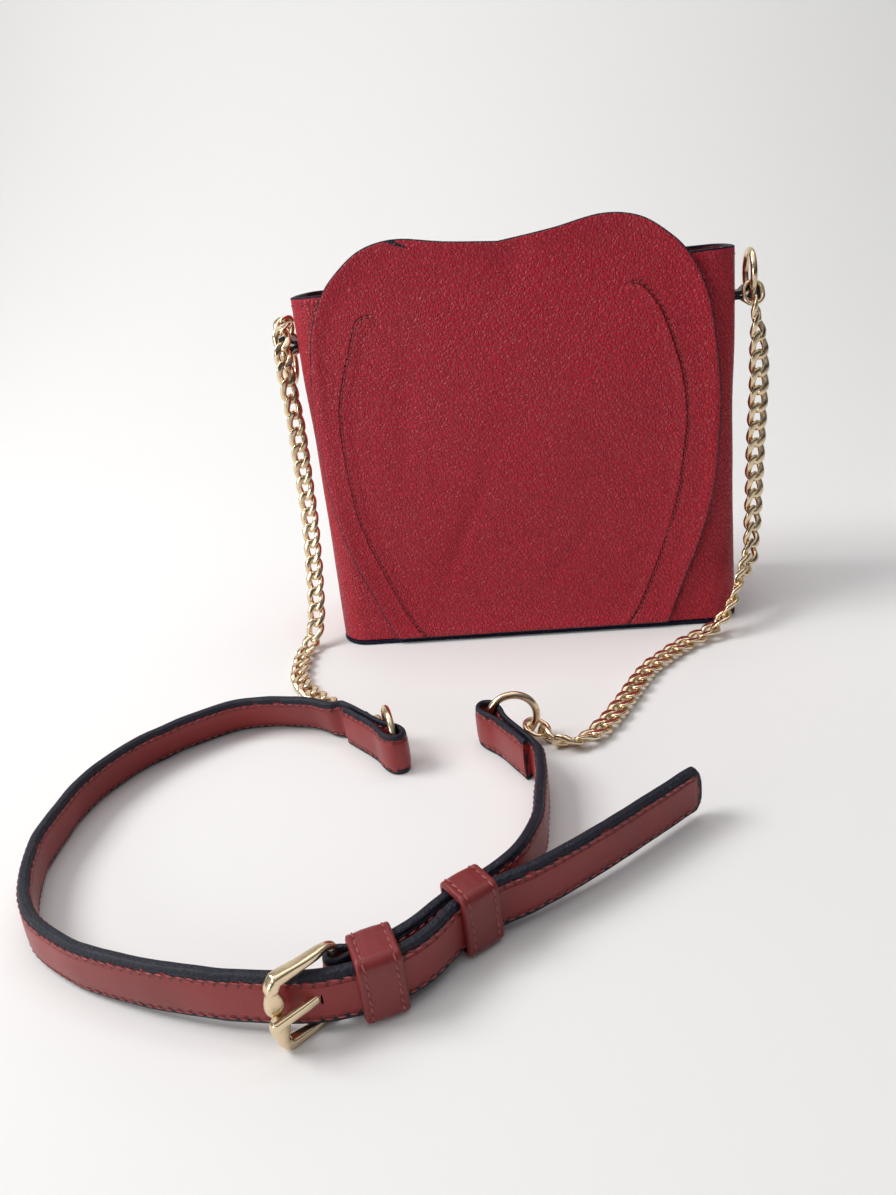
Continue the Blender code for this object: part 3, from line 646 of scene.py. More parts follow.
def grain_effect() -> bpy.types.NodeTree:
    """Pebbled leather grain: plump cells parted by creases, with a fine skin texture over them.

    Returns:
        A group with the grain's height, its crease mask and a slow patch mask.
    """
    tree, given, made = effect(
        "leather_grain",
        [("Vector", "NodeSocketVector", None), ("Cells per metre", "NodeSocketFloat", 700.0),
         ("Crease", "NodeSocketFloat", 0.3), ("Fine", "NodeSocketFloat", 0.25)],
        [("Height", "NodeSocketFloat"), ("Crease", "NodeSocketFloat"), ("Patch", "NodeSocketFloat")],
    )
    vector = given.outputs["Vector"]
    wander = tree.add("ShaderNodeTexNoise", noise_dimensions="3D")
    tree.feed(wander.inputs["Vector"], vector)
    wander.inputs["Scale"].default_value = 420.0
    wander.inputs["Detail"].default_value = 1.0
    shift = tree.add("ShaderNodeVectorMath", operation="MULTIPLY_ADD")
    tree.feed(shift.inputs[0], wander.outputs["Color"])
    shift.inputs[1].default_value = (0.0011, 0.0011, 0.0011)
    tree.feed(shift.inputs[2], vector)
    cell = tree.cells(shift.outputs[0], given.outputs["Cells per metre"])
    plump = tree.ramp(cell, 0.0, given.outputs["Crease"])
    fine = tree.noise(vector, 2600.0, 2.0, 0.6)
    rolling = tree.noise(vector, 330.0, 2.0, 0.55)
    height = tree.math("MULTIPLY_ADD", fine, given.outputs["Fine"], plump)
    tree.feed(made.inputs["Height"], tree.math("MULTIPLY_ADD", rolling, 0.55, height))
    tree.feed(made.inputs["Crease"], tree.math("SUBTRACT", 1.0, plump, clamp=True))
    tree.feed(made.inputs["Patch"], tree.noise(vector, 26.0, 3.0, 0.55))
    return tree.tree


def wear_effect() -> bpy.types.NodeTree:
    """Use marks: broad smudges, fine scratches and scattered specks.

    Returns:
        A group with a smudge value about one half, a scratch mask and a speck mask.
    """
    tree, given, made = effect(
        "use_wear",
        [("Vector", "NodeSocketVector", None), ("Speck scale", "NodeSocketFloat", 900.0),
         ("Speck size", "NodeSocketFloat", 0.16)],
        [("Smudge", "NodeSocketFloat"), ("Scratch", "NodeSocketFloat"), ("Speck", "NodeSocketFloat")],
    )
    vector = given.outputs["Vector"]
    tree.feed(made.inputs["Smudge"], tree.noise(vector, 70.0, 4.0, 0.6))
    drawn = tree.place(vector, (60.0, 900.0, 900.0), (20.0, 35.0, 15.0))
    lines = tree.noise(drawn, 1.0, 2.0, 0.5)
    tree.feed(made.inputs["Scratch"], tree.ramp(lines, 0.66, 0.74))
    dots = tree.cells(vector, given.outputs["Speck scale"], "F1")
    gate = tree.ramp(tree.noise(vector, 240.0, 2.0, 0.6), 0.5, 0.62)
    speck = tree.math("LESS_THAN", dots, given.outputs["Speck size"])
    tree.feed(made.inputs["Speck"], tree.math("MULTIPLY", speck, gate))
    return tree.tree


def paint_effect() -> bpy.types.NodeTree:
    """Where thick edge paint covers leather, from the distance in from a piece's cut edge.

    Returns:
        A group with the paint mask, its lumpy height and its chipped spots.
    """
    tree, given, made = effect(
        "edge_paint",
        [("Vector", "NodeSocketVector", None), ("Inset", "NodeSocketFloat", 0.0),
         ("Reach", "NodeSocketFloat", 0.0006), ("Rough line", "NodeSocketFloat", 0.0011)],
        [("Mask", "NodeSocketFloat"), ("Height", "NodeSocketFloat"), ("Chip", "NodeSocketFloat")],
    )
    vector = given.outputs["Vector"]
    ragged = tree.math("SUBTRACT", tree.noise(vector, 210.0, 4.0, 0.68), 0.5)
    line = tree.math("MULTIPLY_ADD", ragged, given.outputs["Rough line"], given.outputs["Reach"])
    past = tree.math("SUBTRACT", line, given.outputs["Inset"])
    mask = tree.ramp(past, -0.00012, 0.00012)
    tree.feed(made.inputs["Mask"], mask)
    lumps = tree.noise(vector, 360.0, 4.0, 0.70)
    pits = tree.cells(vector, 900.0, "F1")
    tree.feed(made.inputs["Height"], tree.math("MULTIPLY_ADD", pits, 0.40, lumps))
    chip = tree.ramp(tree.noise(vector, 950.0, 2.0, 0.7), 0.655, 0.70)
    where = tree.ramp(tree.noise(vector, 55.0, 2.0, 0.5), 0.47, 0.60)
    tree.feed(made.inputs["Chip"], tree.math("MULTIPLY", chip, where))
    return tree.tree


def weave_effect() -> bpy.types.NodeTree:
    """A plain woven cloth from two crossing sets of waves.

    Returns:
        A group with the threads' height and a mask of the gaps between them.
    """
    tree, given, made = effect(
        "plain_weave",
        [("Vector", "NodeSocketVector", None), ("Threads per metre", "NodeSocketFloat", 1500.0)],
        [("Height", "NodeSocketFloat"), ("Gap", "NodeSocketFloat")],
    )
    scaled = tree.add("ShaderNodeVectorMath", operation="SCALE")
    tree.feed(scaled.inputs[0], given.outputs["Vector"])
    tree.feed(scaled.inputs["Scale"], given.outputs["Threads per metre"])
    parts = tree.add("ShaderNodeSeparateXYZ")
    tree.feed(parts.inputs[0], scaled.outputs[0])
    across = tree.math("SINE", tree.math("MULTIPLY", tree.math("ADD", parts.outputs[0], parts.outputs[1]), math.pi))
    along = tree.math("SINE", tree.math("MULTIPLY", parts.outputs[2], math.pi))
    height = tree.math("MULTIPLY", across, along)
    tree.feed(made.inputs["Height"], height)
    tree.feed(made.inputs["Gap"], tree.ramp(tree.math("ABSOLUTE", height), 0.25, 0.0))
    return tree.tree


GRAIN = grain_effect()
WEAR = wear_effect()
PAINT = paint_effect()
WEAVE = weave_effect()


@dataclass(frozen=True)
class Finish:
    """What every finish shares: a name and the constants of its Principled shader."""

    name: str
    roughness: float = 0.5
    metallic: float = 0.0
    specular: float = 0.5
    coat: float = 0.0
    coat_roughness: float = 0.2
    sheen: float = 0.0

    def start(self) -> tuple[bpy.types.Material, Tree, bpy.types.NodeSocket]:
        """Makes the material with its constants on the shader's own sockets.

        Returns:
            The material, its tree and the object coordinates.
        """
        material = bpy.data.materials.new(self.name)
        material.use_nodes = True
        tree = Tree(material.node_tree)
        shader = material.node_tree.nodes[SHADER]
        for socket, value in (
            ("Roughness", self.roughness), ("Metallic", self.metallic), ("Specular IOR Level", self.specular),
            ("Coat Weight", self.coat), ("Coat Roughness", self.coat_roughness), ("Sheen Weight", self.sheen),
        ):
            shader.inputs[socket].default_value = value
        shader.inputs["Sheen Roughness"].default_value = SHEEN_ROUGHNESS
        return material, tree, tree.add("ShaderNodeTexCoord").outputs["Object"]

    @staticmethod
    def use(tree: Tree, group: bpy.types.NodeTree, **values: object) -> bpy.types.Node:
        """Places a shared effect with its own values.

        Args:
            tree: The material's tree.
            group: The effect.
            values: Its inputs, a low line in each name standing for a space.

        Returns:
            The group's node.
        """
        node = tree.add("ShaderNodeGroup")
        node.node_tree = group
        for label, value in values.items():
            tree.feed(node.inputs[label.replace("_", " ")], value)
        return node

    @staticmethod
    def close(
        material: bpy.types.Material,
        base: bpy.types.NodeSocket,
        rough: bpy.types.NodeSocket | None,
        *layers: tuple[object, float],
    ) -> bpy.types.Material:
        """Links the colour and the roughness, and chains Bump nodes onto the shader's normal.

        Args:
            material: The material that start made.
            base: Its colour.
            rough: Its roughness, or None where the constant stays.
            layers: A height and its depth in metres for each layer of bumps.

        Returns:
            The same material.
        """
        tree = Tree(material.node_tree)
        shader = material.node_tree.nodes[SHADER]
        tree.feed(shader.inputs["Base Color"], base)
        if rough is not None:
            tree.feed(shader.inputs["Roughness"], rough)
        normal: bpy.types.NodeSocket | None = None
        for height, depth in layers:
            node = tree.add("ShaderNodeBump")
            node.inputs["Strength"].default_value = 1.0
            node.inputs["Distance"].default_value = depth
            tree.feed(node.inputs["Height"], height)
            if normal is not None:
                tree.feed(node.inputs["Normal"], normal)
            normal = node.outputs[0]
        tree.feed(shader.inputs["Normal"], normal)
        return material


def attribute(tree: Tree, name: str) -> bpy.types.NodeSocket:
    """A number kept on the piece's own mesh."""
    return tree.add("ShaderNodeAttribute", attribute_name=name).outputs["Fac"]


def chart(tree: Tree) -> tuple[bpy.types.NodeSocket, bpy.types.NodeSocket]:
    """The piece's own chart in metres: the distance in from its edge, and the length along it.

    Args:
        tree: The material's tree.

    Returns:
        The two numbers' outputs.
    """
    parts = tree.add("ShaderNodeSeparateXYZ")
    tree.feed(parts.inputs[0], tree.add("ShaderNodeUVMap", uv_map="chart").outputs[0])
    return parts.outputs[0], parts.outputs[1]


@dataclass(frozen=True)
class PebbledLeather(Finish):
    """The pouch's and petal's pebbled leather, with a stitched groove where the mesh has a seam attribute."""

    colour: tuple[float, float, float] = (0.47, 0.012, 0.032)
    # The darker tone that the grain's creases are blended towards: painted shade in the creases
    dark_tone_and_crease_shade: tuple[float, float, float] = (0.20, 0.005, 0.010)
    patch: tuple[float, float, float] = (0.43, 0.026, 0.040)
    shadow: tuple[float, float, float] = (0.12, 0.004, 0.008)
    paint: tuple[float, float, float] = (0.014, 0.010, 0.020)
    speck: tuple[float, float, float] = (0.07, 0.01, 0.02)
    cells: float = 640.0
    depth: float = 0.00038
    seam: bool = False
    edge: bool = False

    def make(self) -> bpy.types.Material:
        """Builds the material.

        Returns:
            The finished material.
        """
        material, tree, place = self.start()
        turned = tree.place(place, (1.0, 1.0, 0.72), (0.0, 38.0, 0.0))
        grain = self.use(tree, GRAIN, Vector=turned, Cells_per_metre=self.cells, Crease=0.22, Fine=0.05)
        wear = self.use(tree, WEAR, Vector=place, Speck_scale=420.0, Speck_size=0.10)
        patch = tree.ramp(grain.outputs["Patch"], 0.32, 0.68)
        base = tree.blend(tree.math("MULTIPLY", patch, 0.35), rgba(self.colour), rgba(self.patch))
        # Painted shade: the creases between the pebbles are darkened towards the dark tone
        base = tree.blend(tree.math("MULTIPLY", grain.outputs["Crease"], 0.52), base, rgba(self.dark_tone_and_crease_shade))
        layers: list[tuple[object, float]] = [(grain.outputs["Height"], self.depth)]
        rough = tree.math("MULTIPLY_ADD", grain.outputs["Crease"], 0.20, self.roughness - 0.04)
        rough = tree.math("MULTIPLY_ADD", wear.outputs["Smudge"], 0.10, rough)
        if self.seam:
            side = attribute(tree, "seam_side")
            run = attribute(tree, "seam_run")
            sewn = attribute(tree, "seam_on")
            away = tree.math("ABSOLUTE", side)
            groove = tree.math("MAXIMUM", tree.ramp(away, 0.0003, 0.0011), tree.math("SUBTRACT", 1.0, sewn))
            pucker = tree.math("SINE", tree.math("MULTIPLY", run, math.tau / PETAL_PITCH))
            near = tree.ramp(away, 0.0016, 0.0004)
            holes = tree.math("MULTIPLY", tree.math("MULTIPLY", near, sewn), tree.ramp(pucker, 0.35, 0.95))
            fade = tree.math("MULTIPLY", tree.ramp(away, 0.0070, 0.0010), sewn)
            shelf = tree.math("MULTIPLY", tree.ramp(side, -0.0005, 0.0005), fade)
            height = tree.math("MULTIPLY_ADD", holes, -0.7, groove)
            layers.append((height, 0.00100))
            layers.append((shelf, 0.00075))
            dark = tree.math("MULTIPLY", tree.math("SUBTRACT", 1.0, groove, clamp=True), 0.16)
            dark = tree.math("MAXIMUM", dark, tree.math("MULTIPLY", holes, 0.85))
            base = tree.blend(dark, base, rgba(self.shadow))
        if self.edge:
            paint = self.use(tree, PAINT, Vector=place, Inset=chart(tree)[0], Reach=0.00060, Rough_line=0.0006)
            base = tree.blend(paint.outputs["Mask"], base, rgba(self.paint))
            rough = tree.math("MULTIPLY_ADD", paint.outputs["Mask"], -0.12, rough)
        base = tree.blend(tree.math("MULTIPLY", wear.outputs["Speck"], 0.5), base, rgba(self.speck))
        return self.close(material, base, rough, *layers)


@dataclass(frozen=True)
class StrapLeather(Finish):
    """Smoother coated leather whose cut edges carry thick, chipped dark paint."""

    colour: tuple[float, float, float] = (0.275, 0.024, 0.024)
    # A darker tone: its random patches are the leather's own, and its blend into the grain's creases is painted shade
    dark_tone_and_crease_shade: tuple[float, float, float] = (0.15, 0.018, 0.016)
    paint: tuple[float, float, float] = (0.006, 0.007, 0.018)
    chip: tuple[float, float, float] = (0.16, 0.17, 0.23)
    shadow: tuple[float, float, float] = (0.06, 0.010, 0.012)
    speck: tuple[float, float, float] = (0.05, 0.008, 0.010)
    reach: float = 0.0013
    ragged: float = 0.0056
    groove: bool = True
    charted: bool = True
    stitch_inset: float = 0.0024

    def make(self) -> bpy.types.Material:
        """Builds the material.

        Returns:
            The finished material.
        """
        material, tree, place = self.start()
        grain = self.use(tree, GRAIN, Vector=place, Cells_per_metre=1500.0, Crease=0.22, Fine=0.5)
        wear = self.use(tree, WEAR, Vector=place, Speck_scale=520.0, Speck_size=0.10)
        inset, run = chart(tree) if self.charted else (attribute(tree, "inset"), 0.0)
        edge = self.use(tree, PAINT, Vector=place, Inset=inset, Reach=self.reach, Rough_line=self.ragged)
        patch = tree.ramp(grain.outputs["Patch"], 0.35, 0.70)
        base = tree.blend(tree.math("MULTIPLY", patch, 0.45), rgba(self.colour), rgba(self.dark_tone_and_crease_shade))
        # Painted shade: the grain's creases are darkened a little towards the dark tone
        base = tree.blend(tree.math("MULTIPLY", grain.outputs["Crease"], 0.14), base, rgba(self.dark_tone_and_crease_shade))
        base = tree.blend(tree.math("MULTIPLY", wear.outputs["Speck"], 0.75), base, rgba(self.speck))
        layers: list[tuple[object, float]] = [(grain.outputs["Height"], 0.000028)]
        if self.groove:
            away = tree.math("ABSOLUTE", tree.math("SUBTRACT", inset, self.stitch_inset))
            pucker = tree.math("SINE", tree.math("MULTIPLY", run, math.tau / STRAP_PITCH))
            holes = tree.math("MULTIPLY", tree.ramp(away, 0.0009, 0.0002), tree.ramp(pucker, 0.45, 0.98))
            groove = tree.ramp(away, 0.0002, 0.0008)
            layers.append((tree.math("MULTIPLY_ADD", holes, -0.6, groove), 0.00020))
            base = tree.blend(tree.math("MULTIPLY", holes, 0.85), base, rgba(self.shadow))
        mask = edge.outputs["Mask"]
        chips = tree.math("MULTIPLY", edge.outputs["Chip"], 0.55)
        chipped = tree.blend(chips, rgba(self.paint), rgba(self.chip))
        base = tree.blend(mask, base, chipped)
        layers.append((tree.math("MULTIPLY", edge.outputs["Height"], mask), 0.00060))
        layers.append((mask, 0.00022))
        rough = tree.math("MULTIPLY_ADD", wear.outputs["Smudge"], 0.22, self.roughness - 0.11)
        rough = tree.math("MULTIPLY_ADD", mask, 0.24, rough)
        return self.close(material, base, rough, *layers)


@dataclass(frozen=True)
class EdgePaint(Finish):
    """Thick dark paint on a cut leather edge: glossy, lumpy and chipped."""

    colour: tuple[float, float, float] = (0.006, 0.008, 0.022)
    chip: tuple[float, float, float] = (0.34, 0.35, 0.44)

    def make(self) -> bpy.types.Material:
        """Builds the material.

        Returns:
            The finished material.
        """
        material, tree, place = self.start()
        edge = self.use(tree, PAINT, Vector=place, Inset=0.0, Reach=1.0, Rough_line=0.0)
        base = tree.blend(edge.outputs["Chip"], rgba(self.colour), rgba(self.chip))
        rough = tree.math("MULTIPLY_ADD", edge.outputs["Height"], 0.25, self.roughness - 0.1)
        return self.close(material, base, rough, (edge.outputs["Height"], 0.00110))


@dataclass(frozen=True)
class Thread(Finish):
    """Twisted sewing thread."""

    colour: tuple[float, float, float] = (0.40, 0.022, 0.036)

    def make(self) -> bpy.types.Material:
        """Builds the material.

        Returns:
            The finished material.
        """
        material, tree, place = self.start()
        twist = tree.place(place, (5200.0, 5200.0, 5200.0), (35.0, 20.0, 40.0))
        strands = tree.add("ShaderNodeTexWave", wave_type="BANDS", bands_direction="X")
        tree.feed(strands.inputs["Vector"], twist)
        strands.inputs["Scale"].default_value = 0.5
        strands.inputs["Distortion"].default_value = 2.0
        shade_of = tree.math("MULTIPLY_ADD", strands.outputs[1], 0.35, 0.05)
        fade = tree.noise(place, 90.0, 2.0, 0.5)
        base = tree.blend(shade_of, rgba(self.colour), rgba([c * 0.45 for c in self.colour]))
        worn = rgba([min(1, c * 1.5 + 0.03) for c in self.colour])
        base = tree.blend(tree.math("MULTIPLY", tree.ramp(fade, 0.45, 0.7), 0.5), base, worn)
        return self.close(material, base, None, (strands.outputs[1], 0.00005))


@dataclass(frozen=True)
class GoldPlate(Finish):
    """Pale gold plate, polished, with soft ripples, hairline scratches and darker worn hollows."""

    colour: tuple[float, float, float] = (0.80, 0.64, 0.43)
    worn: tuple[float, float, float] = (0.46, 0.33, 0.20)
    speck: tuple[float, float, float] = (0.22, 0.15, 0.10)

    def make(self) -> bpy.types.Material:
        """Builds the material.

        Returns:
            The finished material.
        """
        material, tree, place = self.start()
        wear = self.use(tree, WEAR, Vector=place, Speck_scale=1500.0, Speck_size=0.14)
        tarnish = tree.ramp(tree.noise(place, 160.0, 3.0, 0.6), 0.50, 0.78)
        base = tree.blend(tree.math("MULTIPLY", tarnish, 0.40), rgba(self.colour), rgba(self.worn))
        base = tree.blend(tree.math("MULTIPLY", wear.outputs["Speck"], 0.5), base, rgba(self.speck))
        rough = tree.math("MULTIPLY_ADD", wear.outputs["Smudge"], 0.16, self.roughness - 0.08)
        rough = tree.math("MULTIPLY_ADD", wear.outputs["Scratch"], 0.10, rough)
        ripple = tree.noise(place, 300.0, 2.0, 0.5)
        return self.close(material, base, rough, (ripple, 0.00009), (wear.outputs["Scratch"], 0.00001))


@dataclass(frozen=True)
class LiningCloth(Finish):
    """The plain woven lining."""

    colour: tuple[float, float, float] = (0.055, 0.018, 0.020)

    def make(self) -> bpy.types.Material:
        """Builds the material.

        Returns:
            The finished material.
        """
        material, tree, place = self.start()
        weave = self.use(tree, WEAVE, Vector=place, Threads_per_metre=1600.0)
        crumple = tree.noise(place, 45.0, 3.0, 0.55)
        # Painted shade: the gaps between the threads are darkened
        gap_shade = tree.math("MULTIPLY", weave.outputs["Gap"], 0.6)
        base = tree.blend(gap_shade, rgba(self.colour), rgba([c * 0.4 for c in self.colour]))
        return self.close(material, base, None, (crumple, 0.0016), (weave.outputs["Height"], 0.00006))


@dataclass(frozen=True)
class GreyBoard(Finish):
    """Pressed grey board that stiffens the base."""

    colour: tuple[float, float, float] = (0.36, 0.31, 0.24)

    def make(self) -> bpy.types.Material:
        """Builds the material.

        Returns:
            The finished material.
        """
        material, tree, place = self.start()
        fibre = tree.noise(tree.place(place, (500.0, 1400.0, 900.0), (0.0, 0.0, 25.0)), 1.0, 4.0, 0.7)
        base = tree.blend(tree.ramp(fibre, 0.4, 0.7), rgba(self.colour), rgba([c * 0.7 for c in self.colour]))
        return self.close(material, base, None, (fibre, 0.00008))


# Pouch


class Wall(Enum):
    """The parts of the pouch's plan line."""

    FACE = "face"
    GUSSET = "gusset"
    HALF = "half"
    ROUND = "round"


@dataclass(frozen=True)
class PouchShape:
    """The pouch's outer surface: straight leaning walls with round corners, and how the leather sags on them."""

    height: float = 0.180
    top_width: float = 0.2156
    bottom_width: float = 0.211
    base_depth: float = 0.080
    mouth_depth: float = 0.040
    base_corner: float = 0.016
    mouth_corner: float = 0.012
    wrap: float = 0.002
    gap: float = 0.0003
    belly: float = 0.0011
    fold: float = 0.0030
    hollow: float = 0.0040

    def section(self, z: float, inset: float) -> tuple[float, float, float]:
        """Half width, half depth and corner radius at one height.

        Args:
            z: The height.
            inset: How far in from the outer surface.

        Returns:
            The three sizes, in metres.
        """
        t = z / self.height
        width = self.bottom_width + (self.top_width - self.bottom_width) * t
        depth = self.base_depth + (self.mouth_depth - self.base_depth) * t
        corner = self.base_corner + (self.mouth_corner - self.base_corner) * t
        return width / 2 - inset, depth / 2 - inset, corner - inset

    def plan(self, z: float, inset: float, wall: Wall) -> np.ndarray:
        """One wall's plan line.

        Args:
            z: The height.
            inset: How far in from the outer surface.
            wall: Which wall.

        Returns:
            Rows of place and outward direction.
        """
        w, d, r = self.section(z, inset)

        def corner(cx: float, cy: float, start: float) -> np.ndarray:
            """A quarter turn about a place, from a heading in degrees."""
            turns = np.radians(start + np.linspace(0, 90, 13))
            return np.c_[cx + r * np.cos(turns), cy + r * np.sin(turns), np.cos(turns), np.sin(turns)]

        def flat(a: tuple[float, float], b: tuple[float, float], out: tuple[float, float], steps: int) -> np.ndarray:
            """A straight stretch between two places, with its outward direction."""
            t = np.linspace(0, 1, steps + 1)[:, None]
            return np.c_[(1 - t) * np.array(a) + t * np.array(b), np.tile(out, (steps + 1, 1))]

        left, right = corner(-w + r, -d + r, 180), corner(w - r, -d + r, 270)
        front = flat((-w + r, -d), (w - r, -d), (0, -1), 60)[1:-1]
        if wall is Wall.GUSSET:
            end = d - r - self.wrap - self.gap
            return flat((w, -end), (w, end), (1, 0), 20)
        if wall is Wall.ROUND:
            back = -np.concatenate([left, front, right])
            side = flat((w, -d + r), (w, d - r), (1, 0), 16)[1:-1]
            return np.concatenate([left, front, right, side, back, -side, left[:1]])
        edge = -d + r + self.wrap if wall is Wall.FACE else -self.gap / 2
        steps = 1 if wall is Wall.FACE else 8
        first = flat((-w, edge), (-w, -d + r), (-1, 0), steps)[:-1]
        last = flat((w, -d + r), (w, edge), (1, 0), steps)[1:]
        return np.concatenate([first, left, front, right, last])

    def sag(self, x: float, y: float, z: float, sewn: bool = False) -> float:
        """How far the leather stands out from the plain walls at one place.

        Args:
            x: The place's width.
            y: Its depth.
            z: Its height.
            sewn: Takes the place for the petal panel, which bridges the hollows at the pouch's edges.

        Returns:
            The distance outwards.
        """
        t = min(max(z / self.height, 0.0), 1.25)
        rise = math.sin(math.pi * min(t, 1.0))
        w, d, _ = self.section(z, 0.0)
        facing = eased(abs(y) / d, 0.5, 1.0)
        middle = max(0.0, 1 - (x / w) ** 2)
        wave = ripple_at(x * 24 + (7 if y > 0 else 0), z * 20, 3.1) * 0.0007 * min(1.0, t * 5) * (0.35 + 0.65 * rise)
        bulge = self.belly * rise * middle * facing + wave * facing
        inward = math.exp(-((y / max(d * 0.42, 0.004)) ** 2)) * rise * (1 - eased(z, 0.105, 0.140))
        crease = ripple_at(5.0 + y * 30, z * 26, 1.7) * 0.0006 * rise * (1 - facing)
        if y < 0 and not sewn:
            side = eased(abs(x) / w, 0.70, 0.93) * (1.0 if x > 0 else 0.6)
            upright = eased(t, 0.03, 0.40) * (1 - 0.45 * eased(t, 0.8, 1.0))
            bulge -= self.hollow * side * upright * facing
        return bulge - (self.fold * inward - crease) * (1 - facing)

    def wall(self, wall: Wall, levels: Sequence[float], inset: float, turned: bool = False) -> np.ndarray:
        """A wall's points, rows upwards, on the sagging surface.

        Args:
            wall: Which wall.
            levels: The heights.
            inset: How far in from the outer surface.
            turned: Turns the wall to the far side of the pouch.

        Returns:
            Rows by columns of points.
        """
        way = -1.0 if turned else 1.0
        rows = []
        for z in levels:
            row = []
            for x, y, nx, ny in self.plan(z, inset, wall):
                x, y, nx, ny = x * way, y * way, nx * way, ny * way
                out = self.sag(x, y, z)
                row.append((x + nx * out, y + ny * out, z))
            rows.append(row)
        return np.array(rows)

    def front(self, x: float, z: float, lift: float) -> Vector:
        """The place on the front at a given width and height, lifted off the leather.

        Args:
            x: The place's width.
            z: Its height.
            lift: How far off the leather it is.

        Returns:
            The place.
        """
        w, d, r = self.section(z, 0.0)
        past = abs(x) - (w - r)
        reach = r + lift
        y = -d - lift if past <= 0 else -d + r - math.sqrt(max(reach**2 - past**2, (reach * 0.2) ** 2))
        return Vector((x, y - self.sag(x, -d, z, True) * (1 - max(past, 0) / reach), z))


def ripple_at(x: float, y: float, z: float) -> float:
    """A smooth number between about -1 and 1, the same in each run."""
    return noise.noise(Vector((x, y, z)))


SHAPE = PouchShape()


def walled(obj: bpy.types.Object, thickness: float) -> bpy.types.Object:
    """Gives a sheet its wall, with the cut edges on the painted edge's material number.

    Args:
        obj: The sheet.
        thickness: The wall's thickness.

    Returns:
        The same object.
    """
    modifier = obj.modifiers.new("wall", "SOLIDIFY")
    modifier.thickness = thickness
    modifier.offset = -1.0
    modifier.use_rim = True
    modifier.material_offset_rim = RIM
    room_for(obj, RIM)
    apply_modifiers(obj)
    return obj


def rounded(obj: bpy.types.Object, width: float, segments: int = 2, angle: float = 40.0) -> bpy.types.Object:
    """Rounds an object's sharp edges.

    Args:
        obj: The piece.
        width: How wide the rounding is.
        segments: How many steps it has.
        angle: The least angle that counts as sharp, in degrees.

    Returns:
        The same object.
    """
    modifier = obj.modifiers.new("round", "BEVEL")
    modifier.width = width
    modifier.segments = segments
    modifier.limit_method = "ANGLE"
    modifier.angle_limit = math.radians(angle)
    modifier.harden_normals = False
    apply_modifiers(obj)
    return obj


def mark(obj: bpy.types.Object, name: str, values: np.ndarray) -> None:
    """Keeps one number for each vertex on the piece's own mesh."""
    layer = obj.data.attributes.new(name, "FLOAT", "POINT")
    layer.data.foreach_set("value", values.astype(np.float32))


def turned_piece(
    name: str, centre: Vector, axis: Vector, profile: Sequence[tuple[float, float]], sides: int = 48
) -> bpy.types.Object:
    """A turned solid from places along an axis and radii.

    Args:
        name: The piece's name.
        centre: Where the axis starts.
        axis: The axis.
        profile: Place along the axis and radius, from one pole to the other.
        sides: How many sides a turn has.

    Returns:
        The closed piece.
    """
    axis = axis.normalized()
    side = axis.orthogonal().normalized()
    other = axis.cross(side)
    rows = []
    for along, radius in profile:
        turn = [math.tau * (i % sides) / sides for i in range(sides + 1)]
        rows.append([centre + axis * along + (side * math.cos(a) + other * math.sin(a)) * radius for a in turn])
    return lofted(name, np.array(rows))


def stitch_template(length: float, width: float, height: float) -> bpy.types.Object:
    """One plump stitch lying along X with its underside flattened.

    Args:
        length: Its length.
        width: Its width.
        height: Its height.

    Returns:
        The stitch, to be copied.
    """
    deselect()
    bpy.ops.mesh.primitive_uv_sphere_add(segments=8, ring_count=6, radius=0.5)
    obj = bpy.context.active_object
    points = vertices(obj)[:, [2, 1, 0]]
    points[:, 2] = np.maximum(points[:, 2], -0.25)
    thick = 1 - 0.35 * (2 * np.abs(points[:, 0])) ** 3
    points *= np.c_[np.full(len(points), length), width * thick, height * thick]
    return reshape(obj, points)


def stitch_places(line: Sequence[Vector], outs: Sequence[Vector], pitch: float, tilt: float = 6.0) -> list[Matrix]:
    """Where each stitch of a row lies.

    Args:
        line: Places along the seam.
        outs: The surface's outward direction at each.
        pitch: The distance from stitch to stitch.
        tilt: How far the stitches lean across the seam, in degrees.

    Returns:
        A matrix for each stitch.
    """
    rows = [Vector((*p, *n)) for p, n in zip(line, outs)]
    lengths = lengths_of(rows, 3)
    count = max(1, round(lengths[-1] / pitch))
    places = []
    chance = random.Random(len(line) * 7 + count)
    for i in range(count):
        place = lengths[-1] * (i + 0.5) / count
        row, ahead = row_at(rows, lengths, place), row_at(rows, lengths, min(place + pitch * 0.4, lengths[-1]))
        behind = row_at(rows, lengths, max(place - pitch * 0.4, 0))
        middle, out = Vector(row[:3]), Vector(row[3:]).normalized()
        along = (Vector(ahead[:3]) - Vector(behind[:3])).normalized()
        out = (out - along * out.dot(along)).normalized()
        spin = Matrix.Rotation(math.radians(tilt + chance.uniform(-3, 3)), 3, out)
        along = spin @ along
        frame_of = Matrix((along, out.cross(along), out)).transposed().to_4x4()
        places.append(Matrix.Translation(middle) @ frame_of @ Matrix.Diagonal((chance.uniform(0.93, 1.05), 1, 1, 1)))
    return places


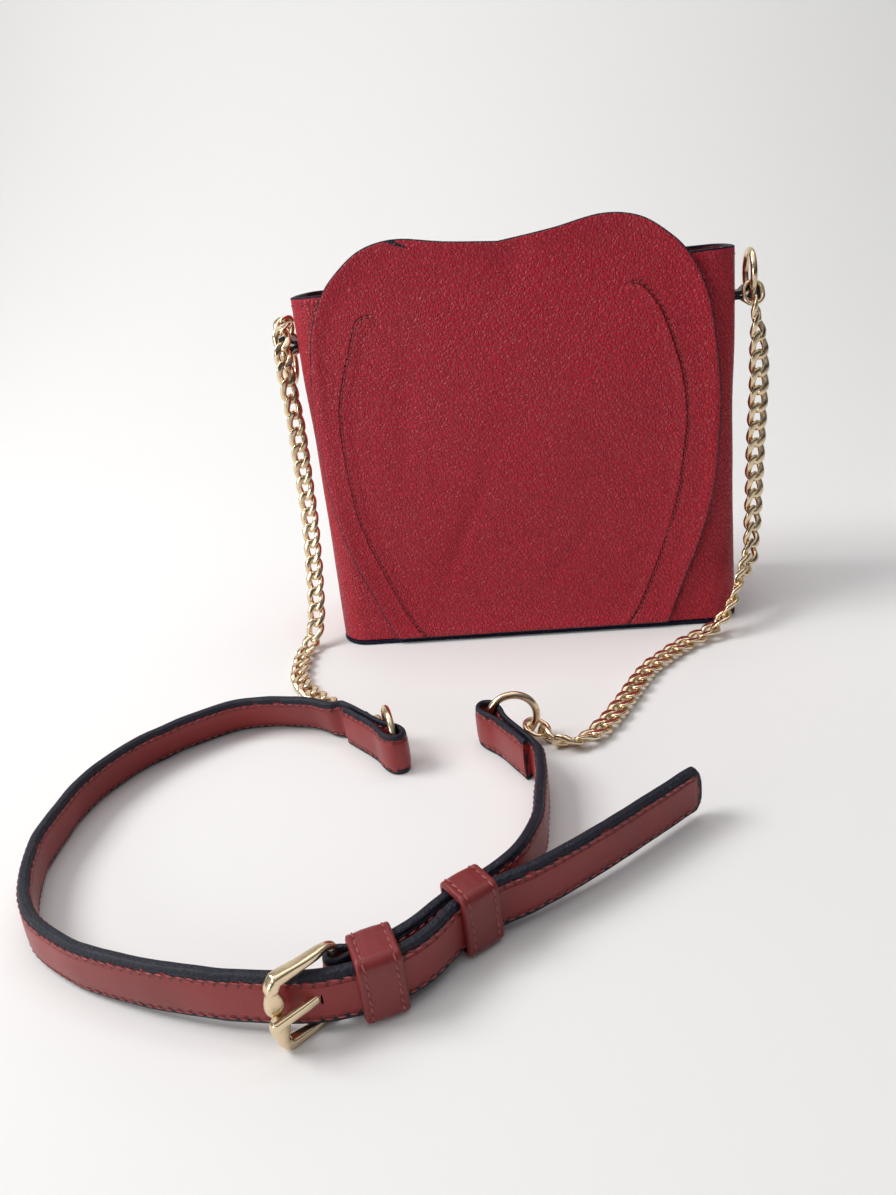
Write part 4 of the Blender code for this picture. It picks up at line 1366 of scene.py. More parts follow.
@dataclass
class Pouch:
    """The bag's body: two panels, two gussets, the base wrap, the painted rim and the inside."""

    shape: PouchShape = SHAPE
    wall: float = 0.0018
    foot: float = 0.0026
    base_top: float = 0.0023
    base_lip: float = 0.0004
    board_top: float = 0.0042
    lining_wall: float = 0.0009
    facing_wall: float = 0.0014
    facing_foot: float = 0.150
    rim_drop: float = 0.0034
    snap_height: float = 0.163
    snap_radius: float = 0.007
    snap_thick: float = 0.0022
    snap_stud: float = 0.0026
    finishes: dict[str, bpy.types.Material] = field(default_factory=dict)

    def panels(self) -> None:
        """Builds and dresses the two panels and the two gussets."""
        levels = np.linspace(self.foot, self.shape.height, 85)
        for name, wall, turned in (
            ("front_body_panel", Wall.FACE, False), ("back_body_panel", Wall.FACE, True),
            ("right_gusset", Wall.GUSSET, False), ("left_gusset", Wall.GUSSET, True),
        ):
            obj = lofted(f"{name}_leather", self.shape.wall(wall, levels, 0.0, turned))
            walled(obj, self.wall)
            rounded(obj, 0.0004, 2, 60)
            dress(obj, Shading.CAST, [self.finishes["pebbled"], self.finishes["edge"]], BAG, [name])

    def base(self) -> None:
        """Builds and dresses the dark base wrap."""
        steps = ((0.020, 0.0002), (0.0016, 0.0), (0.0006, 0.00015), (0.0001, 0.0006), (0.0, 0.00115),
                 (0.0001, 0.0017), (0.0006, 0.00215), (0.0016, self.base_top), (0.020, self.base_top))
        rows = []
        for inset, z in steps:
            plan = self.shape.plan(0.0, inset - self.base_lip, Wall.ROUND)
            rows.append(np.c_[plan[:, :2], np.full(len(plan), z)])
        rows = [rows[0] * (0, 0, 1)] + rows + [rows[-1] * (0, 0, 1)]
        obj = lofted("base_wrap", np.array(rows))
        dress(obj, Shading.CREASED, [self.finishes["edge"]], BAG, ["base_panel"])

    def rim(self) -> None:
        """Builds the painted rim that closes the panels' and facings' top edges, and the seam below it."""
        top = self.shape.height
        rows = []
        for turn in np.radians(np.linspace(0, 360, 15)):
            out, up = math.cos(turn), math.sin(turn)
            inset = 0.00175 - 0.00180 * math.copysign(abs(out) ** 0.7, out)
            z = top - 0.0001 + 0.0006 * math.copysign(abs(up) ** 0.8, up)
            plan = self.shape.plan(top, inset, Wall.ROUND)
            row = []
            for x, y, nx, ny in plan:
                sag = self.shape.sag(x, y, top)
                row.append((x + nx * sag, y + ny * sag, z + 0.00025 * ripple_at(x * 90, y * 90, 0.4)))
            rows.append(row)
        obj = lofted("mouth_edge_paint", np.array(rows))
        dress(obj, Shading.SMOOTH, [self.finishes["edge"]], BAG)
        places: list[Matrix] = []
        z = top - self.rim_drop
        for turned in (False, True):
            line = self.shape.wall(Wall.FACE, [z, z + 0.001], -0.0001, turned)
            plan = self.shape.plan(z, 0.0, Wall.FACE) * (-1 if turned else 1)
            outs = [Vector((n[2], n[3], 0.1)) for n in plan]
            places += stitch_places([Vector(p) for p in line[0]], outs, MOUTH_PITCH)
        obj = scatter("mouth_seam", stitch_template(*MOUTH_STITCH), places)
        dress(obj, Shading.SMOOTH, [self.finishes["thread"]], BAG)

    def lining(self) -> None:
        """Builds and dresses the cloth cup, its floor softly crumpled."""
        inset = self.wall + self.shape.gap
        low, high = self.board_top + self.shape.gap, self.facing_foot - self.shape.gap
        levels = np.linspace(low, high, 41)
        floor = low + self.lining_wall
        outer = self.shape.wall(Wall.ROUND, levels, inset)
        inner = self.shape.wall(Wall.ROUND, np.linspace(floor, high, 41)[::-1], inset + self.lining_wall)
        rows = [outer[0] * (0, 0, 1), outer[0] * (0.5, 0.5, 1), *outer, *inner]
        for share in (0.97, 0.9, 0.75, 0.5, 0.25, 0.0):
            row = inner[-1] * (share, share, 1)
            row[:, 2] += [0.0012 * (1 - share**6) * (0.5 + ripple_at(x * 22, y * 22, 9.0)) for x, y, _ in row]
            rows.append(row)
        rows[-1][:] = rows[-1].mean(axis=0)
        obj = lofted("lining_cloth_cup", np.array(rows))
        dress(obj, Shading.CAST, [self.finishes["cloth"]], BAG, ["lining"])

    def facings(self) -> None:
        """Builds and dresses the leather band inside the mouth."""
        inset = self.wall + self.shape.gap
        for name, turned in (("front_facing", False), ("back_facing", True)):
            levels = np.linspace(self.facing_foot, self.shape.height, 15)
            obj = lofted(f"{name}_leather", self.shape.wall(Wall.HALF, levels, inset, turned))
            walled(obj, self.facing_wall)
            rounded(obj, 0.0003, 2, 60)
            dress(obj, Shading.CAST, [self.finishes["facing"], self.finishes["edge"]], BAG, [name])

    def snap(self) -> None:
        """Builds and dresses the snap's two halves, which face each other across the mouth."""
        slope = math.atan((self.shape.base_depth - self.shape.mouth_depth) / 2 / self.shape.height)
        radius, thick, stud = self.snap_radius, self.snap_thick, self.snap_stud
        depth = self.shape.section(self.snap_height, 0.0)[1]
        face = (self.wall + self.facing_wall + self.shape.gap * 2.5) / math.cos(slope)
        for name, way in (("snap_front", 1), ("snap_back", -1)):
            axis = Vector((0, way * math.cos(slope), -math.sin(slope)))
            centre = Vector((0, way * (-depth + face), self.snap_height))
            profile = [
                (0.0, 0.0), (0.0, radius * 0.97), (0.0002, radius), (thick * 0.55, radius),
                (thick * 0.85, radius * 0.965), (thick, radius * 0.90), (thick, radius * 0.60),
                (thick * 0.9, radius * 0.55),
            ]
            if way > 0:
                profile += [
                    (thick * 0.9, stud * 1.15), (thick, stud), (thick * 1.5, stud * 0.97),
                    (thick * 1.6, stud * 0.85), (thick * 1.6, 0.0),
                ]
            else:
                profile += [(thick * 0.95, stud * 1.25), (thick * 0.4, stud * 1.2), (thick / 3, 0.0)]
            obj = turned_piece(f"{name}_button", centre, axis, profile)
            dress(obj, Shading.CREASED, [self.finishes["gold"]], BAG, [name])

    def build(self) -> None:
        """Builds the whole body."""
        self.panels()
        self.base()
        self.rim()
        self.lining()
        self.facings()
        self.snap()
        board = bpy.data.objects["base_board"]
        for slot in board.material_slots:
            slot.material = self.finishes["board"]


# Petal


@dataclass
class Petal:
    """The two-lobed leather panel sewn to the pouch's front."""

    shape: PouchShape = SHAPE
    height: float = 0.2016
    half_width: float = 0.100
    shift: float = -0.0018
    foot: float = 0.003
    wall: float = 0.0016
    gap: float = 0.0003
    rings: int = 74
    sides: int = 420
    half_shares: tuple[tuple[float, float], ...] = (
        (0.0, 0.968), (0.25, 0.982), (0.48, 1.0), (0.65, 0.986), (0.78, 0.943), (0.872, 0.893),
        (0.945, 0.815), (0.98, 0.724), (1.0, 0.605), (1.0, 0.536), (0.99, 0.456), (0.97, 0.372),
        (0.93, 0.283), (0.873, 0.198), (0.80, 0.11), (0.715, 0.0),
    )
    left_seam: tuple[tuple[float, float], ...] = (
        (-66.5, 168.4), (-70.5, 167.9), (-73.9, 165.0), (-78.9, 151.7), (-83.9, 138.3), (-87.4, 124.9), (-88, 109.5),
        (-87.2, 93.2), (-85.6, 74.8), (-82.3, 59.7), (-77.8, 47), (-71.1, 30.1), (-64, 12.9), (-56.9, 3.6),
    )
    right_seam: tuple[tuple[float, float], ...] = (
        (59.0, 170.2), (63.0, 169.8), (68.3, 164.1), (72.6, 156.9), (76.3, 146.2), (80.5, 131.2), (82.4, 118),
        (82.6, 103.8), (80.5, 89.1), (78.1, 74.1), (73.7, 57.9), (63.8, 30.8), (56, 13.2), (49.5, 3.6),
    )
    # Each crease's middle, its turn in degrees, its length, its width and its depth
    creases: tuple[tuple[float, float, float, float, float, float], ...] = (
        (-0.030, 0.060, 64, 0.034, 0.004, 0.0006), (0.018, 0.038, 50, 0.026, 0.004, 0.0006),
        (0.048, 0.090, -58, 0.030, 0.006, 0.0005), (-0.055, 0.118, 80, 0.036, 0.006, 0.0005),
        (-0.002, 0.052, 12, 0.024, 0.003, 0.0004), (0.004, 0.192, 90, 0.018, 0.009, 0.0012),
    )
    # The two ends of the painted nick in the left lobe's top edge
    nick: tuple[tuple[float, float], tuple[float, float]] = ((-0.0535, 0.2012), (-0.0445, 0.1972))
    finishes: dict[str, bpy.types.Material] = field(default_factory=dict)

    def outline(self) -> np.ndarray:
        """The panel's closed outline, seen from the front, clockwise from its top middle.

        Returns:
            Rows of width and height, the first repeated at the end.
        """
        span = self.height - self.foot
        half = [Vector((p.x * self.half_width, self.foot + p.y * span)) for p in smooth_rows(self.half_shares, 12)]
        right = [Vector((self.shift + p.x, p.y)) for p in half]
        left = [Vector((self.shift - p.x, p.y)) for p in half]
        rows, _ = even_rows(right, 0.001, 2)
        foot_line = [right[-1].lerp(left[-1], i / 60) for i in range(1, 60)]
        back, _ = even_rows(left[::-1], 0.001, 2)
        loop = rows + foot_line + back
        lengths = lengths_of(loop, 2)
        return np.array([row_at(loop, lengths, lengths[-1] * i / self.sides) for i in range(self.sides + 1)])

    def seams(self) -> list[list[Vector]]:
        """The two stitched lines as smooth rows of width and height.

        Returns:
            A list of rows for the left seam and one for the right.
        """
        made = []
        for seam in (self.left_seam, self.right_seam):
            made.append([Vector((p.x * MM, p.y * MM)) for p in smooth_rows(seam, 10)])
        return made

    def surface(self, x: float, z: float, lift: float) -> Vector:
        """A place on the panel, with the soft creases that the real one has.

        Args:
            x: The place's width.
            z: Its height.
            lift: How far off the panel's back it is.

        Returns:
            The place.
        """
        point = self.shape.front(x, z, self.gap + lift)
        dent = 0.0
        for cx, cz, turn, length, width, depth in self.creases:
            a = math.radians(turn)
            u = (x - cx) * math.cos(a) + (z - cz) * math.sin(a)
            v = -(x - cx) * math.sin(a) + (z - cz) * math.cos(a)
            dent += depth * math.exp(-((u / length) ** 2) - (v / width) ** 2)
        free = eased(z, 0.172, 0.2016)
        curl = free * (0.0012 + 0.0010 * ripple_at(x * 30, 2.0, 5.0))
        return point + Vector((0, dent - curl, 0))

    def panel(self) -> None:
        """Builds and dresses the leather panel."""
        loop = self.outline()
        centre = np.array((self.shift, 0.104))
        shares = 1 - (1 - np.linspace(0, 1, self.rings)) ** 1.25
        flat = np.array([centre + (loop - centre) * t for t in shares])
        points = np.array([[self.surface(x, z, self.wall) for x, z in row] for row in flat])
        fine = np.linspace(0, len(loop) - 1, (len(loop) - 1) * 6 + 1)
        rim = np.stack([np.interp(fine, np.arange(len(loop)), loop[:, k]) for k in range(2)], axis=1)
        inset = np.array([np.linalg.norm(ring[:, None] - rim[None], axis=2).min(axis=1) for ring in flat])
        nick_from, nick_to = np.array(self.nick)
        way = nick_to - nick_from
        share = np.clip(((flat - nick_from) @ way) / (way @ way), 0, 1)
        near = np.linalg.norm(flat - (nick_from + share[..., None] * way), axis=2)
        inset = np.minimum(inset, near - 0.0004 + 0.0006 * share)
        edge = np.clip(1 - inset / 0.0011, 0, 1) ** 2 * 0.00035 - (1 - hold(inset, 0.001, 0.009)) * 0.0008
        points[:, :, 1] += edge
        run = np.broadcast_to(np.linspace(0, 1, self.sides + 1), inset.shape)
        obj = lofted("petal_panel_leather", points, np.stack([inset, run], axis=2))
        self.mark_seams(obj)
        walled(obj, self.wall)
        dress(obj, Shading.CAST, [self.finishes["petal"], self.finishes["edge"]], BAG, ["petal_panel"])

    def mark_seams(self, obj: bpy.types.Object) -> None:
        """Keeps on the panel's mesh how each vertex lies to the nearer seam, for the leather's bumps.

        Args:
            obj: The panel's open sheet.
        """
        where = vertices(obj)[:, [0, 2]]
        side, along, sewn = np.full(len(where), 1.0), np.zeros(len(where)), np.zeros(len(where))
        for seam in self.seams():
            line = np.array(seam)
            away = np.linalg.norm(where[:, None] - line[None], axis=2)
            near = away.argmin(axis=1)
            step = np.gradient(line, axis=0)
            step /= np.linalg.norm(step, axis=1)[:, None]
            off = where - line[near]
            cross = off[:, 0] * step[near, 1] - off[:, 1] * step[near, 0]
            least = away.min(axis=1)
            beside = np.abs(least - np.abs(cross)) < 0.0004
            signed = np.where(beside, cross, np.copysign(least, cross))
            if line[0, 0] < 0:
                signed = -signed
            lengths = np.array(lengths_of(seam, 2))
            ahead = (off * step[near]).sum(axis=1)
            closer = np.abs(signed) < np.abs(side)
            side = np.where(closer, signed, side)
            along = np.where(closer, lengths[near] + np.clip(ahead, -0.002, 0.002), along)
            past = np.abs(ahead) * ((near == 0) | (near == len(line) - 1))
            sewn = np.where(closer, 1 - hold(past, 0.0002, 0.0030), sewn)
        mark(obj, "seam_side", side)
        mark(obj, "seam_run", along)
        mark(obj, "seam_on", sewn)

    def stitches(self) -> None:
        """Sews the two seams."""
        places: list[Matrix] = []
        for seam in self.seams():
            rows, _ = even_rows(seam, 0.0015, 2)
            line = [self.surface(p.x, p.y, self.wall) + Vector((0, 0.00002, 0)) for p in rows]
            outs = [Vector((0, -1, 0.11)) for _ in rows]
            places += stitch_places(line, outs, PETAL_PITCH, 8.0)
        obj = scatter("petal_seam_stitches", stitch_template(*PETAL_STITCH), places)
        dress(obj, Shading.SMOOTH, [self.finishes["thread"]], BAG)

    def build(self) -> None:
        """Builds the panel and its seams."""
        self.panel()
        self.stitches()


# Rings, tabs and chains


@dataclass
class Hardware:
    """Sizes that the rings, end links and chains share, and where the layout on the floor puts them."""

    reach: float = 0.290
    gap: float = 0.0003
    ring_radius: float = 0.0101
    ring_wire: float = 0.0033
    end_length: float = 0.013
    end_width: float = 0.0108
    end_wire: float = 0.0021
    link_width: float = 0.009
    link_wire: float = 0.0023
    link_pitch: float = 0.0087
    twist: float = 0.62
    bearing: float = 0.74
    wire_broad: float = 0.72
    wire_thin: float = 0.60
    planed: float = 0.736
    links_per_run: int = 4
    blended: int = 3
    wobble: float = 4.0
    gold: bpy.types.Material | None = None

    def ring(self, name: str, node: str, centre: Vector, out: Vector, body: str) -> None:
        """Builds and dresses a round ring whose wire is softly ridged.

        Args:
            name: The piece's name.
            node: The CAD node that it stands for.
            centre: The ring's middle.
            out: A level direction in its plane.
            body: The body that it moves with.
        """
        across = out.cross(UP)
        obj, angles = torus(112, 24)
        obj.name = obj.data.name = name
        points = []
        for a, b in angles:
            spoke = out * math.cos(a) + UP * math.sin(a)
            ridge = 0.035 * (1 - math.cos(2 * b)) / 2
            wave = 0.012 * ripple_at(3 * math.cos(a), 3 * math.sin(a), 2 * b)
            thick = self.ring_wire / 2 * (1 - ridge + wave)
            points.append(centre + spoke * (self.ring_radius + thick * math.cos(b)) + across * thick * math.sin(b))
        reshape(obj, points)
        dress(obj, Shading.SMOOTH, [self.gold], body, [node])

    def end_link(
        self, node: str, hook: Vector, tangent: Vector, pull: Vector, turns: tuple[float, float]
    ) -> tuple[Vector, Vector]:
        """Builds and dresses the plain oval link round a ring's wire.

        Args:
            node: The CAD node that it stands for.
            hook: The middle of the ring's wire where the link hangs.
            tangent: The wire's direction there.
            pull: The way that the chain pulls.
            turns: How far the link and the chain's first link are turned about the pull, in degrees.

        Returns:
            Where the chain starts, and its first link's broad axis.
        """
        pull = pull.normalized()
        square = tangent.cross(pull).normalized()
        other = pull.cross(square)
        turn, mate = (math.radians(a) for a in turns)
        reach = (self.end_length - self.end_wire) / 2
        inner = reach - (self.ring_wire + self.end_wire) / 2 - self.gap * 2.6
        outer = reach - (self.link_wire + self.end_wire) / 2 - self.gap * 3
        broad = square * math.cos(turn) + other * math.sin(turn)
        across = pull.cross(broad)
        middle = hook + pull * inner
        half, straight = (self.end_width - self.end_wire) / 2, (self.end_length - self.end_width) / 2
        obj, angles = torus(64, 16)
        obj.name = obj.data.name = f"{node}_oval"
        points = []
        for a, b in angles:
            spoke = pull * math.cos(a) + broad * math.sin(a)
            core = middle + spoke * half + pull * math.copysign(straight, math.cos(a))
            points.append(core + (spoke * math.cos(b) + across * math.sin(b)) * self.end_wire / 2)
        reshape(obj, points)
        dress(obj, Shading.SMOOTH, [self.gold], BAG, [node])
        start = hook + pull * (inner + outer + self.link_wire * self.bearing / 2)
        return start, square * math.cos(mate) + other * math.sin(mate)

    def link_points(
        self, template: np.ndarray, middle: Vector, along: Vector, broad: Vector, half: float
    ) -> np.ndarray:
        """One curb link: a twisted loop of wire whose two broad faces are planed flat.

        Args:
            template: Angles round the loop and round the wire, one row for each vertex.
            middle: The link's middle.
            along: The chain's direction.
            broad: The link's broad direction.
            half: Half the wire loop's length.

        Returns:
            The link's points.
        """
        t, b = template[:, 0], template[:, 1]
        half_width, rise = (self.link_width - self.link_wire) / 2 * 0.96, self.link_wire * self.twist
        core = np.c_[half * np.cos(t), half_width * np.sin(t), rise * np.sin(2 * t)]
        tangent = np.c_[-half * np.sin(t), half_width * np.cos(t), 2 * rise * np.cos(2 * t)]
        tangent /= np.linalg.norm(tangent, axis=1)[:, None]
        spoke = core / np.linalg.norm(core, axis=1)[:, None]
        side = np.cross(tangent, spoke)
        side /= np.linalg.norm(side, axis=1)[:, None]
        spoke = np.cross(side, tangent)
        broad_wire, thin_wire = self.link_wire * self.wire_broad, self.link_wire * self.wire_thin
        local = core + spoke * np.cos(b)[:, None] * broad_wire + side * np.sin(b)[:, None] * thin_wire
        plane = self.link_wire * self.planed
        high = np.abs(local[:, 2])
        local[:, 2] = np.sign(local[:, 2]) * np.where(high > plane, plane + (high - plane) * 0.22, high)
        axes = np.array([along, broad, along.cross(broad)])
        return local @ axes + np.array(middle)

    def chain(
        self,
        name: str,
        shares: Sequence[tuple[float, float, float]],
        turns: Sequence[float],
        start: tuple[Vector, Vector],
        end: tuple[Vector, Vector],
    ) -> None:
        """Builds and dresses a chain of curb links, one piece for each of the CAD's runs.

        Args:
            name: The chain's name in the CAD's nodes.
            shares: The route, in shares of the loop's reach.
            turns: The broad axis's heading in degrees at even steps.
            start: Where the chain starts and its first broad axis.
            end: Where it ends and its last broad axis.
        """
        rows = smooth_rows([start[0]] + [Vector(r) * self.reach for r in shares] + [end[0]], 6)
        rows, length = even_rows(rows, self.link_wire / 2, 3)
        lengths = [length * i / (len(rows) - 1) for i in range(len(rows))]
        count = self.links_per_run * round(length / self.link_pitch / self.links_per_run)
        runs = count // self.links_per_run
        shorter = self.link_wire * (1 - self.bearing) + self.gap * 2.6
        pitch = (length + (runs - 1) * shorter) / count
        half = (pitch + self.link_wire * self.bearing) / 2
        step = (length - 2 * (pitch / 2)) / (count - 1)
        place = pitch / 2
        chance = random.Random(len(shares))
        for run in range(runs):
            template, angles = torus(36, 12)
            points = []
            for k in range(self.links_per_run):
                middle = row_at(rows, lengths, place)
                ahead = row_at(rows, lengths, min(place + pitch / 2, length))
                behind = row_at(rows, lengths, max(place - pitch / 2, 0))
                along = (ahead - behind).normalized()
                at = place / length * (len(turns) - 1)
                low = min(int(at), len(turns) - 2)
                turn = turns[low] + (turns[low + 1] - turns[low]) * (at - low)
                broad = heading(turn)
                number = run * self.links_per_run + k
                for far, held in ((number, start[1]), (count - 1 - number, end[1])):
                    if far < self.blended:
                        mate = held if held.dot(broad) > 0 else -held
                        broad = broad.lerp(mate, 1 - far / self.blended)
                broad = (broad - along * broad.dot(along)).normalized()
                wobble = math.radians(chance.uniform(-self.wobble, self.wobble))
                broad = Matrix.Rotation(wobble, 3, along) @ broad
                points.append(self.link_points(angles, middle, along, broad, half))
                place += step
            faces = [tuple(p.vertices) for p in template.data.polygons]
            obj = add_mesh(f"{name}_links_{run + 1}", np.concatenate(points), faces, len(points))
            bpy.data.objects.remove(template)
            in_edit(obj, [lambda: bpy.ops.mesh.normals_make_consistent(inside=False)])
            dress(obj, Shading.SMOOTH, [self.gold], BAG, [f"{name}_run_{run + 1}"])


@dataclass
class SideHangers:
    """The folded tab on each gusset, the ring through it and the top end link."""

    hardware: Hardware
    tab_width: float = 0.010
    layer: float = 0.0020
    hole: float = 0.0028
    pivot_x: float = 0.1165
    pivot_z: float = 0.157
    hook_share: float = 0.75
    left_pull: tuple[float, float, float] = (0.0, 0.36, 0.933)
    right_pull: tuple[float, float, float] = (0.05, -0.45, -0.89)
    link_turns: tuple[float, float] = (0.0, -65.0)
    finishes: dict[str, bpy.types.Material] = field(default_factory=dict)

    def tab(self, name: str, side: int) -> None:
        """Builds and dresses one folded tab.

        Args:
            name: Which side it is, in words.
            side: The same as a sign along X.
        """
        root = SHAPE.section(self.pivot_z, 0.0018)[0]
        meet = self.pivot_x - self.hole * 1.7
        slit = 0.00015
        inside = [(root, slit), (meet, slit)] + arc(self.pivot_x, 0, self.hole, 150, -150, 24)
        inside += [(meet, -slit), (root, -slit)]
        steps = np.linspace(meet, root, 5)
        shell = [(x, -self.layer) for x in steps[::-1]]
        shell += arc(self.pivot_x, 0, self.hole + self.layer, -140, 140, 28)
        shell += [(x, self.layer) for x in steps]
        loop = np.array(inside + shell + inside[:1])
        rows = []
        for y in np.linspace(-self.tab_width / 2, self.tab_width / 2, 13):
            rows.append([(side * x, y, self.pivot_z + z) for x, z in loop])
        obj = lofted(f"{name}_tab_leather", np.array(rows), ends=True)
        rounded(obj, 0.00035, 3, 55)
        inset = self.tab_width / 2 - np.abs(vertices(obj)[:, 1])
        mark(obj, "inset", inset)
        dress(obj, Shading.CAST, [self.finishes["tab"]], BAG, [f"{name}_ring_tab"])

    def build(self) -> list[tuple[Vector, Vector]]:
        """Builds both sides.

        Returns:
            Where each side's chain starts and its first broad axis, left then right.
        """
        hard = self.hardware
        sag = (hard.ring_radius - math.sqrt(hard.ring_radius**2 - (self.tab_width / 2) ** 2)) / 2
        ends = []
        for name, side, way, pull in (("left", -1, -1, self.left_pull), ("right", 1, 1, self.right_pull)):
            self.tab(name, side)
            centre = Vector((side * self.pivot_x, 0, self.pivot_z + way * (hard.ring_radius - sag)))
            hard.ring(f"{name}_hanging_ring", f"{name}_side_ring", centre, Vector((0, 1, 0)), f"{name}_ring")
            back = -way * self.hook_share
            spoke = Vector((0, back, -way * math.sqrt(1 - back**2)))
            tangent = Vector((0, -spoke.z, spoke.y))
            hook = centre + spoke * hard.ring_radius
            ends.append(hard.end_link(f"{name}_top_end_link", hook, tangent, Vector(pull), self.link_turns))
        return ends


# Straps


@dataclass
class StrapShape:
    """A flat strap's section and how it follows its rows of x, y, lift, lean and half thickness."""

    width: float = 0.0185
    stitch_inset: float = 0.0024
    edge_round: float = 0.0011
    crown: float = 0.00022
    groove: float = 0.00022
    groove_half: float = 0.0006
    taper: float = 0.26

    def section(self, half: float, share: float = 1.0) -> np.ndarray:
        """The section's closed loop: place across the thickness, place across the width, and inset.

        Args:
            half: Half the thickness.
            share: How much of the width there is, less than 1 near a rounded end.

        Returns:
            Rows of three numbers, the first repeated at the end.
        """
        w = self.width / 2 * share
        r = min(self.edge_round, half * 0.8 * (1 - self.taper))
        thin = self.taper * half
        face = [
            (r * 0.45, -thin * 0.8),
            (self.stitch_inset - self.groove_half - r, -thin * 0.35),
            (self.stitch_inset - r, -self.groove - thin * 0.2),
            (self.stitch_inset + self.groove_half - r, -thin * 0.1),
            (0.0042 - r, self.crown * 0.6),
            (0.0065 - r, self.crown),
        ]
        loop: list[tuple[float, float, float]] = []

        def corner(sign_a: int, sign_b: int, start: float) -> None:
            """Adds a rounded corner.

            Args:
                sign_a: Which side across the thickness.
                sign_b: Which side across the width.
                start: The heading that it starts from, in degrees.
            """
            middle = sign_a * (half * (1 - self.taper) - r), sign_b * (w - r)
            for turn in np.linspace(start, start + 90, 5):
                a = math.radians(turn)
                inset = 0.0002 - r * 1.2 * abs(math.sin(a))
                loop.append((middle[0] + r * math.cos(a), middle[1] + r * math.sin(a), inset))

        def side(sign_a: int, upward: int) -> None:
            """Adds one broad face.

            Args:
                sign_a: Which side across the thickness.
                upward: 1 for rows upwards and -1 for rows downwards.
            """
            lower = [(-w + r + q * share, h, r * 0.2 + q) for q, h in face]
            upper = [(w - r - q * share, h, r * 0.2 + q) for q, h in face[::-1]]
            middle = [(0.0, self.crown * 1.1, w)]
            for b, h, inset in (lower + middle + upper)[::upward]:
                loop.append((sign_a * (half + h), b, inset))

        corner(1, -1, 270)
        side(1, 1)
        corner(1, 1, 0)
        corner(-1, 1, 90)
        side(-1, -1)
        corner(-1, -1, 180)
        return np.array(loop + loop[:1])

    def axes(self, rows: Sequence[Vector], i: int) -> tuple[Vector, Vector, Vector]:
        """The middle of the strap, its outward face direction and its width direction at one row.

        Args:
            rows: The strap's rows.
            i: Which row.

        Returns:
            The three, in that order.
        """
        before, after = rows[max(i - 1, 0)], rows[min(i + 1, len(rows) - 1)]
        row = rows[i]
        run = Vector((after[0] - before[0], after[1] - before[1], 0)).normalized()
        left = Vector((-run.y, run.x, 0))
        lean = math.radians(row[3])
        side = left * math.cos(lean) - Vector((0, 0, 1)) * math.sin(lean)
        up = Vector((0, 0, 1)) * math.cos(lean) + left * math.sin(lean)
        foot = self.width / 2 * math.cos(lean) + row[4] * abs(math.sin(lean))
        centre = Vector((row[0], row[1], row[2] + foot)) + left * self.width / 2 * math.sin(lean)
        return centre, side, up

    def body(self, name: str, rows: Sequence[Vector], tail: float = 0.0) -> bpy.types.Object:
        """The strap's closed mesh.

        Args:
            name: The piece's name.
            rows: Its rows.
            tail: The radius of its last end's corners.

        Returns:
            The new object, its chart giving the distance in from the painted edge and the length.
        """
        lengths = lengths_of(rows, 2)
        points, chart = [], []
        for i, row in enumerate(rows):
            left = lengths[-1] - lengths[i]
            share = 1.0
            if tail and left < tail:
                share = 1 - (tail - math.sqrt(max(tail**2 - (tail - left) ** 2, 0))) / (self.width / 2) * 0.96
            centre, side, up = self.axes(rows, i)
            wave = 0.00022 * ripple_at(lengths[i] * 60, self.width * 50, len(rows))
            loop = self.section(row[4], share)
            bend = 0.00025 * ripple_at(lengths[i] * 110, 4.0, 8.0)
            bowed = [(a + wave * (1 - (2 * b / self.width) ** 2), b + bend) for a, b, _ in loop]
            points.append([centre + side * a + up * b for a, b in bowed])
            inset = loop[:, 2]
            if tail:
                inset = np.minimum(inset, left - 0.0002)
            chart.append(np.c_[inset, np.full(len(loop), lengths[i])])
        return lofted(name, np.array(points), np.array(chart), ends=True)

    def seam(self, rows: Sequence[Vector], low: float, high: float) -> list[Matrix]:
        """The places of both stitch rows on the strap's faces.

        Args:
            rows: The strap's rows.
            low: Where the stitches start along it.
            high: Where they end.

        Returns:
            A matrix for each stitch.
        """
        lengths = lengths_of(rows, 2)
        keep = [i for i in range(len(rows)) if low <= lengths[i] <= high]
        places: list[Matrix] = []
        for face in (-1, 1):
            for edge in (-1, 1):
                line, outs = [], []
                for i in keep:
                    centre, side, up = self.axes(rows, i)
                    b = edge * (self.width / 2 - self.stitch_inset)
                    line.append(centre + side * face * (rows[i][4] - self.groove * 0.4) + up * b)
                    outs.append(side * face)
                places += stitch_places(line, outs, STRAP_PITCH, 5.0 * face)
        return places


@dataclass(frozen=True)
class BuckleAxes:
    """Where the buckle stands and which way it lies."""

    heel: Vector
    pivot: Vector
    along: Vector
    toward: Vector
    span: float

    def place(self, x: float, y: float, z: float) -> Vector:
        """A place along the buckle, out of its face and up from its middle."""
        return self.pivot + self.along * x + self.toward * y + UP * z


